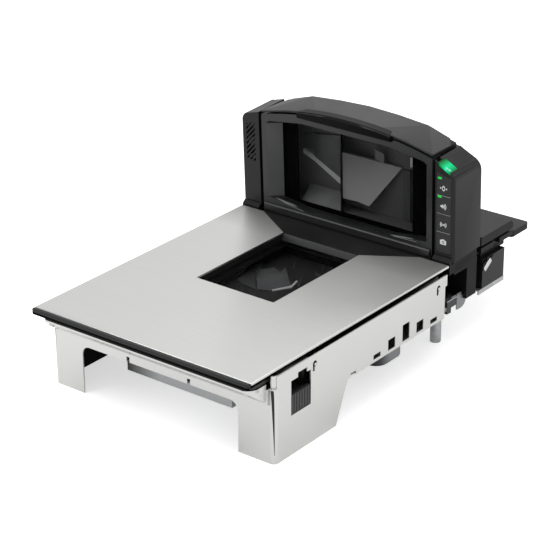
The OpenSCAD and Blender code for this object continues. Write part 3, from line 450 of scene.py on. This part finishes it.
def on_roll(face):
    """Tells the polished faces of the rolled side edges."""
    outer = abs(face.center.x) > high.x - 1.2 * mm and abs(face.normal.x) > 0.2
    return outer and face.center.z > rolled


bm = copied("platter")
rounded(bm, 1.1 * mm, steps=3, chosen=on_fold)
cut_level(bm, rolled)
platter = stands_for(bm, "platter", platter_steel)
partly(platter, satin_steel, on_roll)
chart = platter.data.uv_layers.new(name="brushing")
for corner in platter.data.loops:
    spot = platter.data.vertices[corner.vertex_index].co
    chart.data[corner.index].uv = (spot.y + 0.3 * spot.z, spot.x)

# Trim bar clipped along the platter's front edge: extruded plastic, its rounded nose grey with
# fine draw lines, and its lower lip of black rubber.

trim_grey, tree, shader = begin("grey_extruded_trim", "#1F2021", Roughness=0.45,
                                Specular_IOR_Level=0.3)
varied(tree, shader, brushed(tree, (80, 0.8, 0.8), 2.0), 0.36, 0.52)
lip_top = 97.3 * mm
bm = copied("front_trim")
rounded(bm, 1.5 * mm, steps=4)
cut_level(bm, lip_top)
partly(stands_for(bm, "front_trim", trim_grey), rubber, lambda face: face.center.z < lip_top)

# Window frame, apron and tower base: black ABS with a fine matt texture from the tool. The real
# spark texture is about 0.1 mm, so it is drawn at 0.7 mm to show. A satin lip stands along the
# lower pane's rear edge, painted a paler grey than the frame: painted light where it faces the
# front.


def moulded(name, dark, light, roughness, gloss=0.5):
    """A moulded plastic: slow clouds of tone and gloss under a fine spark texture."""
    material, tree, shader = begin(name, dark, Specular_IOR_Level=gloss)
    flow = noise(tree, 45, 3.0)
    tree.links.new(shaded(tree, flow, (0.3, dark), (0.7, light)), shader.inputs["Base Color"])
    varied(tree, shader, flow, roughness - 0.05, roughness + 0.05)
    embossed(tree, shader, noise(tree, 0.7, 2.0), 0.08)
    return material


frame_abs = moulded("black_abs_frame", "#1A1A1B", "#1E1E1F", 0.36, 0.4)
cover_abs = moulded("charcoal_abs_cover", "#121213", "#161617", 0.4, 0.3)
inner_abs = moulded("dull_black_abs", "#0C0C0D", "#101011", 0.6, 0.25)
chamber_painted_light = moulded("painted_lit_chamber_wall", "#5C5C5E", "#646466", 0.5, 0.3)
softened("window_frame", 0.4 * mm, frame_abs)
softened("apron", 0.6 * mm, frame_abs)
# Painted light: the lip is paler than the frame, where it faces the light in front.
lip_painted_light = moulded("painted_lit_lip", "#2C2D2E", "#323334", 0.34, 0.5)
lip_x, lip_l = -55.1, 103.4
bm = bmesh.new()
start = bm.faces.new([bm.verts.new(Vector((lip_x, y, z)) * mm) for y, z in (
    (55.2, 92.1), (52.2, 92.1), (52.2, 93.2), (54.6, 99.6), (55.2, 99.6))])
drawn_out(bm, [start], (lip_l * mm, 0, 0))
bmesh.ops.recalc_face_normals(bm, faces=bm.faces[:])
rounded(bm, 0.3 * mm)
finished(bm, "window_rear_lip", lip_painted_light, body_of("window_frame"))
base_abs = moulded("matt_abs_base", "#0E0E0F", "#121213", 0.5, 0.15)
softened("tower_base", 0.8 * mm, base_abs)
for node in ("optics_tub", "light_baffle"):
    dressed(node, inner_abs)

# Folding mirrors and dark baffles in the lower chamber, under the window: thin aluminised
# plates on a moulded cover that closes the tub, seen as grey facets through the glass. The
# mirrors are plain grey plates, and their differing greys are painted reflections and shading.

cover_z, facet_z = -28, -27


def raised(bm, height):
    """Gives flat shapes drawn on the xy plane their thickness."""
    drawn_out(bm, bm.faces[:], (0, 0, height))
    bmesh.ops.recalc_face_normals(bm, faces=bm.faces[:])


def facet(name, outline, bottom, height, material, nodes=()):
    """A plate over the lower chamber, drawn from the platter's front edge in mm."""
    bm = bmesh.new()
    bm.faces.new([bm.verts.new(counter(x, y, bottom)) for x, y in outline])
    raised(bm, height * mm)
    piece = finished(bm, name, material, "chassis")
    if nodes:
        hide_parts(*nodes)


def silvered(name, dark, light, roughness=0.35):
    """A coated plate, with haze between two tones."""
    material, tree, shader = begin(name, dark, Roughness=roughness)
    haze = shaded(tree, noise(tree, 18, 2.0), (0.35, dark), (0.65, light))
    tree.links.new(haze, shader.inputs["Base Color"])
    return material


smoky = silvered("smoked_baffle", "#2A2A2B", "#303031")
# Painted reflections and shading: the mirrors' greys stand in for what they reflect.
dark_mirror = silvered("dark_tower_mirror", "#444546", "#4A4B4C")
grey_mirror = silvered("aluminised_facet", "#5A5B5C", "#666768")
dim_mirror = silvered("dim_aluminised_facet", "#4A4B4C", "#525354")
pale_edge = silvered("ground_mirror_edge", "#C2C3C4", "#D0D1D2")
facet("chamber_cover", [(-61, 149), (54, 149), (54, 311), (-61, 311)], cover_z, 1, smoky,
      ("lower_mirror_left", "lower_mirror_right"))
facet("facet_middle", [(-48.3, 257), (-37, 235.5), (-20.2, 215), (-3.9, 221.9), (5.3, 238.1),
                       (5.2, 245.3), (1, 245.8), (-30.6, 278.1), (-27.7, 265.1), (-40.6, 270.5)],
      facet_z, 1, grey_mirror, ("lower_mirror_rear", "lower_mirror_front"))
facet("facet_middle_rim", [(-4.5, 220.7), (6.9, 240), (2.4, 257.2), (-0.3, 257.8), (3.3, 243.8),
                           (-6.6, 223.5)], facet_z + 0.1, 1.1, pale_edge)
for name, outline, height in (
        ("facet_left", [(-60.5, 262.1), (-35.7, 232.7), (-42.4, 246.4), (-59.5, 275.4)], 0.7),
        ("facet_front_left", [(-53.3, 223.1), (-41, 217.6), (-21.2, 214.2), (-60.5, 261)], 0.4),
        ("facet_arc", [(-2.9, 295.4), (9.3, 280), (14.7, 282.2), (14.4, 285.8), (5.8, 286.8)], 0.8),
        ("streak_rear", [(-34.6, 302.1), (-23.9, 285.2), (-25.5, 284.8)], 0.3),
        ("streak_right", [(-2.4, 314.9), (4.1, 300.7), (2.2, 300.2)], 0.3),
        ("streak_middle", [(-5.6, 278.2), (11, 247.9), (7.8, 248.4)], 0.3)):
    facet(name, outline, facet_z, height, dim_mirror)

# Window panes: scratch resistant glass, coated against reflections, with a grey tint. The lower
# one lies in its frame, and the upright one in the tower's housing behind the bezel.

pane, tree, shader = begin("coated_grey_glass", "#08090A", Roughness=0.03, IOR=1.12, Alpha=0.14)
softened("window_glass", 0.3 * mm, pane)
softened("tower_glass", 0.3 * mm, pane)

# Mirrors in the tower: aluminised glass plates that fold the upright light paths, with strips
# of grey light chamber between them. The right one is painted paler towards its lower right
# corner, a painted reflection of a brighter region; the mirrors' greys are painted reflections.

tower = Matrix.Translation(counter(0, 348, 0)) @ Matrix.Rotation(math.radians(2.3), 4, "X")
facing = Matrix.Rotation(math.radians(90), 4, "X")
chamber_back = 45.5


def in_tower(point):
    """A point in the tower's own leaning frame, in mm: across, back and up."""
    return tower.inverted() @ point / mm


def upright(name, outline, depth, thick, material, body="chassis", nodes=()):
    """A plate that faces forward in the tower, drawn in mm, its rear face at the given depth."""
    bm = bmesh.new()
    bm.faces.new([bm.verts.new((x * mm, h * mm, 0)) for x, h in outline])
    raised(bm, thick * mm)
    bmesh.ops.transform(bm, verts=bm.verts,
                        matrix=tower @ Matrix.Translation((0, depth * mm, 0)) @ facing)
    piece = finished(bm, name, material, body)
    if nodes:
        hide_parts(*nodes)


def in_chamber(face):
    """Tells the housing's faces round the light chamber."""
    spot = in_tower(face.center)
    return abs(spot.x) < 102.5 and 22 < spot.y < 46 and 5 < spot.z < 118.5


# Painted light: the housing's faces round the light chamber are painted pale grey, to lift them out
# of the chamber's shade.
partly(softened("tower_frame", 0.5 * mm, inner_abs), chamber_painted_light, in_chamber)
big_mirror, tree, shader = begin("big_tower_mirror", "#9A9A9A", Roughness=0.3)
# Painted reflection: the big mirror's colour grows paler towards its lower right corner.
place = add(tree, "TexCoord").outputs["Object"]
slant = add(tree, "VectorMath", {0: place, 1: (6, 0, -9)}, operation="DOT_PRODUCT")
sheen = mapped(tree, slant.outputs["Value"], -2.0, -1.0)
tree.links.new(shaded(tree, sheen, (0.1, "#5E5E5E"), (0.9, "#BEBEBE")), shader.inputs["Base Color"])
softened("tower_mirror_right", 0.2 * mm, big_mirror)
upright("dark_tower_mirror", [(-72.7, 53.2), (-36.4, 41), (-36.4, 92.7), (-72.7, 86.4)],
        chamber_back, 3, dark_mirror, nodes=("tower_mirror_left",))
upright("slanting_strip", [(-88.8, 59.6), (-73.5, 53.7), (-36.4, 33.1), (-36.4, 40.7),
                           (-73.4, 59.4), (-88.6, 65)], chamber_back, 3.2, pale_edge)
upright("left_tower_panel", [(-88.6, 67.8), (-73.1, 68.3), (-73, 87.2), (-89, 82.6)],
        chamber_back, 2.5, dim_mirror)
upright("right_pale_band", [(47.8, 10), (57.3, 10), (57.3, 72), (47.8, 72)], chamber_back, 2.5,
        dim_mirror)
upright("mirror_tab", [(14.8, 78), (26.9, 76), (26.9, 87.6), (14.8, 90.6)], 38, 1.5, grey_mirror)
# Painted highlight: a pale plate just behind the upright pane stands in for a bright glint there.
upright("painted_glint_plate", [(70.6, 87.2), (76, 87.2), (76, 98.5), (70.6, 98.5)], 24, 0.8, pale_edge)
softened("tower_mirror_floor", 0.2 * mm, grey_mirror)

# Lens barrels: black anodised tubes with a polished mouth, each standing on its imager's board.
# The power inlet is dressed the same way.

barrel, tree, shader = begin("black_lens_barrel", "#101114", Roughness=0.22)
varied(tree, shader, noise(tree, 2, 1.0), 0.15, 0.3)
for node in ("lower_lens", "upper_lens", "power_inlet"):
    softened(node, 0.4 * mm, barrel)

# Tower covers: front bezel, arched top cover with a plain visor, end caps and rear cover. They
# are charcoal ABS mouldings clipped to the housing with dark seams between them.

bezel_abs = moulded("satin_abs_bezel", "#1B1C1D", "#202122", 0.34, 0.5)
visor_abs = moulded("gloss_black_visor", "#09090A", "#0C0C0D", 0.35, 0.06)
# Painted reflection: the walls of the bezel's opening are painted paler than the bezel, where they
# reflect the bright surroundings.
reveal_painted_sheen = moulded("painted_pale_reveal", "#5C5D5E", "#646566", 0.35, 0.4)


def on_reveal(face):
    """Tells the side walls of the bezel's opening."""
    spot = in_tower(face.center)
    wall = abs(face.normal.x) > 0.8 and 95 < abs(spot.x) < 108.4 and 20 < spot.z < 112
    return wall and spot.y > 0.8


def behind_visor(edge):
    """Tells the top cover's edges that the visor leaves bare."""
    return all(in_tower(v.co).y > 0.4 for v in edge.verts)


def on_front_corner(edge):
    """Tells the long edges at the right cap's front corner."""
    a, b = (in_tower(v.co) for v in edge.verts)
    return min(a.x, b.x) > 136 and max(a.y, b.y) < 6 and abs(a.z - b.z) > 1


partly(softened("front_bezel", 0.8 * mm, bezel_abs), reveal_painted_sheen, on_reveal)
softened("top_cover", 0.8 * mm, cover_abs, chosen=behind_visor)
visor_half = 62, 62.5, 62, 57
visor_top, visor_sag = 134.4, 892
bm = bmesh.new()
bmesh.ops.create_grid(bm, x_segments=24, y_segments=3, size=0.5)
for v in bm.verts:
    row = round(3 * (v.co.y + 0.5))
    x = 2 * v.co.x * visor_half[row]
    crown = visor_top - x * x / visor_sag
    d, h = ((-2.95, 123.4), (-3.9, min(crown - 1.7, 132.2)), (-1.7, crown + 0.4),
            (8, crown + 0.5))[row]
    v.co = tower @ (Vector((x, d, h)) * mm)
rounded(bm, 0.5 * mm, steps=3, sharp=20)
bmesh.ops.solidify(bm, geom=bm.faces[:], thickness=0.3 * mm)
bmesh.ops.recalc_face_normals(bm, faces=bm.faces[:])
finished(bm, "blank_visor", visor_abs, "chassis")
softened("left_cap", 0.6 * mm, cover_abs)
bm = copied("right_cap")
rounded(bm, 1.9 * mm, steps=5, sharp=15, chosen=on_front_corner)
rounded(bm, 0.6 * mm)
stands_for(bm, "right_cap", cover_abs)

# Pale plates at the two ends of the window's sill, a painted highlight where the sloped sill
# catches the light: satin plastic, lying on the sill. The rear cover closes the tower's back.

# Painted highlight: pale plates on the sill's two ends.
sill_painted_highlight = moulded("painted_sill_highlight", "#7C7D7E", "#8A8B8C", 0.3, 0.5)
for name, outline in (
        ("sill_facet_left", ((-99, 3.4, 16.1), (-85, -0.2, 14.7), (-58, -0.2, 10.6),
                             (-73, 3.6, 13.4))),
        ("sill_facet_right", ((59, 2.2, 12.1), (65, -0.2, 12.3), (95, -0.2, 13.3),
                              (89, 1.2, 15.2), (78, 2.6, 14.1)))):
    bm = bmesh.new()
    bm.faces.new([bm.verts.new(tower @ (Vector(corner) * mm)) for corner in outline])
    bmesh.ops.triangulate(bm, faces=bm.faces[:])
    bmesh.ops.solidify(bm, geom=bm.faces[:], thickness=0.5 * mm)
    bmesh.ops.recalc_face_normals(bm, faces=bm.faces[:])
    finished(bm, name, sill_painted_highlight, "chassis")
softened("rear_cover", 1.0 * mm, cover_abs)

# Keypad on the right end cap: a soft dark panel with four keys and pale printed lines between
# them. Each key has its pictogram in white ink: set to zero, volume, tag reader and camera.

key_rubber = moulded("soft_touch_key", "#1E1F20", "#232426", 0.45)
key_fill, key_x = 1.028, 128.6
line_x0, line_x1, line_half = 120.2, 137, 0.35
softened("keypad_frame", 0.15 * mm, key_rubber)
for node in ("key_zero", "key_volume", "key_tag", "key_camera"):
    bm = copied(node)
    spots = [v.co.copy() for v in bm.verts]
    middle = sum(spots, Vector()) / len(spots)
    bmesh.ops.scale(bm, verts=bm.verts, vec=(key_fill, 1, key_fill),
                    space=Matrix.Translation(-middle))
    rounded(bm, 0.12 * mm)
    stands_for(bm, node, key_rubber)
ink, tree, shader = begin("white_key_ink", "#E6E7E8", Roughness=0.5)
varied(tree, shader, noise(tree, 0.8, 1.0), 0.42, 0.6)
line_ink, tree, shader = begin("grey_line_ink", "#8E9092", Roughness=0.5)
varied(tree, shader, noise(tree, 0.8, 1.0), 0.42, 0.6)
for i, h in enumerate((76, 54.8, 33.3)):
    upright(f"key_line_{i}", [(line_x0, h - line_half), (line_x1, h - line_half),
                              (line_x1, h + line_half), (line_x0, h + line_half)],
            0.3, 0.1, line_ink)


def stroke(bm, x, y, inner, outer, start, sweep):
    """A flat arc or ring, spun about a point from a short radial edge."""
    turn = Vector((math.cos(math.radians(start)), math.sin(math.radians(start)), 0))
    centre = Vector((x, y, 0)) * mm
    ends = [bm.verts.new(centre + turn * r * mm) for r in (inner, outer)]
    edge = bm.edges.new(ends)
    bmesh.ops.spin(bm, geom=ends + [edge], cent=centre, axis=(0, 0, 1), angle=math.radians(sweep),
                   steps=max(6, round(sweep / 15)), use_merge=sweep == 360)


def patch(bm, outline):
    """A flat filled shape."""
    bm.faces.new([bm.verts.new((x * mm, y * mm, 0)) for x, y in outline])


def printed(bm, name, h, body):
    """Lays a drawn pictogram on a key's face as a thin coat of ink."""
    raised(bm, 0.08 * mm)
    bmesh.ops.transform(bm, verts=bm.verts, matrix=tower
                        @ Matrix.Translation(Vector((key_x, 0.1, h)) * mm) @ facing)
    finished(bm, name, ink, body)


bm = bmesh.new()
stroke(bm, 0, 0, 1.45, 2.5, 0, 360)
bmesh.ops.scale(bm, verts=bm.verts, vec=(0.8, 1.2, 1))
for side in (-1, 1):
    patch(bm, [(side * 2.5, 0), (side * 4.3, side * 1.2), (side * 4.3, -side * 1.2)])
printed(bm, "sign_zero", 84.7, "key_zero")
bm = bmesh.new()
patch(bm, [(-3.8, -0.9), (-2.5, -0.9), (-2.5, 0.9), (-3.8, 0.9)])
patch(bm, [(-2.5, -0.9), (-0.6, -2.6), (-0.6, 2.6), (-2.5, 0.9)])
for r in (2, 3.4, 4.8):
    stroke(bm, -1.6, 0, r - 0.4, r + 0.4, -45, 90)
printed(bm, "sign_volume", 63.8, "key_volume")
bm = bmesh.new()
stroke(bm, 0, 0, 0.2, 1.0, 0, 360)
for r in (2.2, 3.7):
    for start in (-45, 135):
        stroke(bm, 0, 0, r - 0.42, r + 0.42, start, 90)
printed(bm, "sign_tag", 42.5, "key_tag")
lens_y, lens_r, case_w, case_h = -0.2, 1.6, 3.9, 2.7
bm = bmesh.new()
stroke(bm, 0, lens_y, 0.1, 0.9, 0, 360)
rims = []
for ring in (False, True):
    loop = []
    for i in range(24):
        x, y = math.cos(math.radians(15 * i)), math.sin(math.radians(15 * i))
        reach = lens_r if ring else min(case_w / max(abs(x), 0.01), case_h / max(abs(y), 0.01))
        loop.append(bm.verts.new((x * reach * mm, (y * reach + lens_y) * mm, 0)))
    rims += [bm.edges.new((loop[i - 1], loop[i])) for i in range(24)]
bmesh.ops.bridge_loops(bm, edges=rims)
patch(bm, [(-1.8, 2.5), (1.8, 2.5), (1.2, 3.4), (-1.2, 3.4)])
printed(bm, "sign_camera", 22.1, "key_camera")

# Status light and indicator lights: clear green lenses over lamps, brightest in the middle. The
# small ones are rounded dashes on the keypad's panel. Two near-white spots in the big lens are
# painted highlights.

status_green, tree, shader = begin("lit_green_lens", "#022A14", Roughness=0.12,
                                   Specular_IOR_Level=0.12, Emission_Strength=0.85)
glow = mapped(tree, along(tree, "X"), 121 * mm, 136.5 * mm)
glow = shaded(tree, glow, (0.05, "#02481F"), (0.3, "#05B462"), (0.55, "#08F0A0"),
              (0.75, "#07D886"), (0.95, "#06A25A"))
place = add(tree, "TexCoord").outputs["Object"]
# Painted highlights: two near-white spots mixed into the big lens's glow.
spots = []
for centre in ((131.2, 94.8, 208.4), (134.4, 95.4, 207.6)):
    reach = add(tree, "VectorMath", {0: place, 1: Vector(centre) * mm}, operation="DISTANCE")
    spots.append(mapped(tree, reach.outputs["Value"], 0.6 * mm, 2.6 * mm, 1.0, 0.0))
spots = add(tree, "Math", {0: spots[0], 1: spots[1]}, operation="MAXIMUM")
glow = mixed(tree, spots.outputs[0], glow, "#9CFFEC")
tree.links.new(glow, shader.inputs["Emission Color"])
softened("status_lens", 1.6 * mm, status_green, steps=6)
led_green, tree, shader = begin("lit_green_indicator", "#0A8030", Roughness=0.3)
glow = mapped(tree, noise(tree, 1.5, 1.0), 0.0, 1.0, 0.6, 1.0)
tree.links.new(glow, shader.inputs["Emission Strength"])
shader.inputs["Emission Color"].default_value = tint("#0CC83E")
dash_half, dash_r = 1.3, 1.25
bm = bmesh.new()
for h in (11.8, -9.5):
    for side in (-1, 1):
        stroke(bm, side * dash_half, h, 0, dash_r, 90 if side < 0 else 270, 180)
    patch(bm, [(-dash_half, h - dash_r), (dash_half, h - dash_r), (dash_half, h + dash_r),
               (-dash_half, h + dash_r)])
bmesh.ops.remove_doubles(bm, verts=bm.verts, dist=0.01 * mm)
raised(bm, 0.3 * mm)
bmesh.ops.transform(bm, verts=bm.verts, matrix=tower
                    @ Matrix.Translation(Vector((123.7, 0.3, 84)) * mm) @ facing)
piece = finished(bm, "indicator_dashes", led_green, "chassis")
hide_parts("indicator_lights")

# Rear deck, connector box and its sockets: charcoal ABS, with plated steel jacks at the back. A
# thin black patch on the box's side is a painted shadow, standing for the recess by the latch.

deck_abs = moulded("charcoal_abs_deck", "#101011", "#131314", 0.45, 0.15)
softened("rear_deck", 0.8 * mm, deck_abs)
softened("deck_neck", 0.5 * mm, inner_abs)
softened("connector_box", 0.8 * mm, cover_abs)
plated, tree, shader = begin("nickel_plated_jack", "#A9ABAC", Metallic=1.0)
varied(tree, shader, noise(tree, 5, 2.0), 0.25, 0.4)
softened("data_ports", 0.3 * mm, plated)


def on_side(bm, x, y=0, z=0, lean=0):
    """Stands a flat shape up on the right side, its thickness outward."""
    bmesh.ops.transform(bm, verts=bm.verts, matrix=Matrix.Translation(Vector((x, y, z)) * mm)
                        @ Matrix.Rotation(math.radians(lean), 4, "X")
                        @ Matrix(((0, 0, 1, 0), (1, 0, 0, 0), (0, 1, 0, 0), (0, 0, 0, 1))))


# Painted shadow: a thin black patch on the box's side where the recess by the latch lies in shade.
bm = bmesh.new()
patch(bm, [(159.9, 82.6), (181.3, 82.6), (179.4, 81.2), (159.9, 72.8)])
raised(bm, 0.15 * mm)
on_side(bm, 141)
finished(bm, "painted_latch_shadow", rubber, "chassis")

# Clips beside the rear frame, under the tower's skirts: plated sheet with a rounded end, behind a
# dark moulded block that a strip of sheet caps.

for name, outline, x, height, material in (
        ("frame_clips", [(114.5, 38.8), (119, 38), (126, 38.6), (130.3, 40.6), (132.5, 44.2),
                         (132.8, 48.2), (127, 48.2), (127, 52.8), (114.5, 57.6)],
         136.1, 1.4, pressed),
        ("clip_blocks", [(95.5, 40), (103.5, 39.6), (103.5, 45.5), (114.4, 45.5), (114.4, 54),
                         (95.5, 54)], 131, 6.5, ribbed),
        ("clip_strips", [(95.5, 54.1), (114.4, 54.1), (114.4, 55.5), (95.5, 55.5)],
         131, 6.5, zinc)):
    bm = bmesh.new()
    patch(bm, outline)
    raised(bm, height * mm)
    rounded(bm, 0.4 * mm, steps=2, sharp=40)
    on_side(bm, x)
    both_sides(bm)
    finished(bm, name, material, "chassis")

# Latch lever, its pin and the screws: the lever a bright plated bar that swings on a steel pin
# in the box's side, the screws cross headed, plated bright on the lip and black at the rear.

bright, tree, shader = begin("bright_plated_steel", "#D0D0CF", Metallic=1.0)
varied(tree, shader, noise(tree, 3, 2.0), 0.18, 0.32)
lever_lean = 34
bm = bmesh.new()
patch(bm, [(-7.5, -2.9), (8, -2.9), (8, 2.9), (-7.5, 2.9)])
raised(bm, 4.5 * mm)
rounded(bm, 0.9 * mm, steps=4, sharp=60)
on_side(bm, 141.3, 162.8, 77.5, lever_lean)
stands_for(bm, "latch_lever", bright)
softened("latch_pin", 0.25 * mm, satin_steel)


def crossed(bm):
    """Sinks a cross recess in the head of each screw."""
    arm, half, depth = 1.7 * mm, 0.45 * mm, 1 * mm
    outline = ((half, half), (half, arm), (-half, arm), (-half, half), (-arm, half),
               (-arm, -half), (-half, -half), (-half, -arm), (half, -arm), (half, -half),
               (arm, -half), (arm, half))
    for head in [f for f in bm.faces if f.calc_area() > 14 * mm * mm and len(f.verts) > 8]:
        middle, out = head.calc_center_median(), head.normal.copy()
        across = out.orthogonal().normalized()
        upward = out.cross(across)
        rim = head.edges[:]
        bmesh.ops.delete(bm, geom=[head], context="FACES_ONLY")
        corners = [bm.verts.new(middle + across * a + upward * b) for a, b in outline]
        cross = [bm.edges.new((corners[i - 1], corners[i])) for i in range(len(corners))]
        bmesh.ops.bridge_loops(bm, edges=rim + cross)
        sunk = bmesh.ops.extrude_edge_only(bm, edges=cross)["geom"]
        deep = [v for v in sunk if isinstance(v, bmesh.types.BMVert)]
        bmesh.ops.translate(bm, verts=deep, vec=-out * depth)
        bmesh.ops.contextual_create(bm, geom=[e for e in sunk if isinstance(e, bmesh.types.BMEdge)
                                              and e.verts[0] in deep and e.verts[1] in deep])
    bmesh.ops.recalc_face_normals(bm, faces=bm.faces[:])
    return bm


stands_for(crossed(copied("lip_screws")), "lip_screws", bright)
bm = bmesh.new()
post(bm, 28, 2.3, 1.2, Matrix.Translation(counter(137.4, 13.65, -15.4))
     @ Matrix.Rotation(math.radians(-10), 4, "Z") @ sideways)
crossed(bm)
both_sides(bm)
finished(bm, "lip_corner_screws", bright, "chassis")
blackened, tree, shader = begin("black_zinc_screw", "#3A3A3D", Metallic=1.0)
varied(tree, shader, noise(tree, 3, 2.0), 0.3, 0.45)
for node in ("cover_screws", "deck_screws"):
    stands_for(crossed(copied(node)), node, blackened)

# Studio: a pale floor and a white world that the lens sees as white, and soft lamps overhead
# and in front. The floor keeps a faint shadow of the object.

bm = bmesh.new()
bmesh.ops.create_grid(bm, x_segments=1, y_segments=1, size=6.0)
mesh = bpy.data.meshes.new("floor")
bm.to_mesh(mesh)
bm.free()
floor_paint, tree, shader = begin("white_studio_floor", "#F4F4F4", Roughness=0.9,
                                  Specular_IOR_Level=0.0, Emission_Color=(1, 1, 1, 1))
path = add(tree, "LightPath")
mirrored = add(tree, "Math", {0: path.outputs["Is Glossy Ray"],
                              1: path.outputs["Is Transmission Ray"]}, operation="MAXIMUM")
mirrored = add(tree, "Math", {0: mirrored.outputs[0], 1: 0.2}, operation="MULTIPLY")
level = add(tree, "Math", {0: path.outputs["Is Camera Ray"], 1: 0.6, 2: mirrored.outputs[0]},
            operation="MULTIPLY_ADD")
tree.links.new(level.outputs[0], shader.inputs["Emission Strength"])
mesh.materials.append(floor_paint)
floor = bpy.data.objects.new("floor", mesh)
bpy.context.scene.collection.objects.link(floor)

world = bpy.data.worlds.new("studio")
world.use_nodes = True
bpy.context.scene.world = world
tree = world.node_tree
tree.nodes.clear()
path = add(tree, "LightPath")
seen = add(tree, "Math", {0: path.outputs["Is Camera Ray"], 1: path.outputs["Is Glossy Ray"]},
           operation="MAXIMUM")
seen = add(tree, "Math", {0: seen.outputs[0], 1: path.outputs["Is Transmission Ray"]},
           operation="MAXIMUM")
level = mapped(tree, seen.outputs[0], 0.0, 1.0, 0.62, 1.0)
sky = add(tree, "Background", {"Color": (1, 1, 1, 1), "Strength": level})
add(tree, "OutputWorld", {"Surface": sky.outputs[0]})

for name, power, size, spot, aim in (
        ("key_lamp", 14, 1.2, (-0.7, -0.9, 1.9), (0, 0, 0.1)),
        ("rear_lamp", 2.5, 1.0, (-0.5, 1.5, 0.95), (0, 0.1, 0.1)),
        ("top_lamp", 5, 1.0, (0.4, 0.3, 1.9), (0, 0, 0.1))):
    lamp = bpy.data.lights.new(name, "AREA")
    lamp.energy = power
    lamp.size = size
    stand = bpy.data.objects.new(name, lamp)
    stand.location = spot
    stand.rotation_mode = "QUATERNION"
    stand.rotation_quaternion = (Vector(aim) - Vector(spot)).to_track_quat("-Z", "Y")
    bpy.context.scene.collection.objects.link(stand)

# Camera where the photograph was taken from, level to a tenth of a degree. Its place, aim and
# lens were solved from the platter's edges.

lens = bpy.data.cameras.new("camera")
lens.sensor_width = 36.0
lens.lens = 130.05
camera = bpy.data.objects.new("camera", lens)
camera.location = (1.1968, -1.58095, 0.9880)
aim = Vector((-0.5535, 0.7209, -0.4170))
roll = Matrix.Rotation(math.radians(-0.11), 4, "Z")
camera.matrix_world = (Matrix.Translation(camera.location)
                       @ aim.to_track_quat("-Z", "Y").to_matrix().to_4x4() @ roll)
bpy.context.scene.collection.objects.link(camera)
bpy.context.scene.camera = camera
bpy.context.scene.view_settings.view_transform = "Standard"
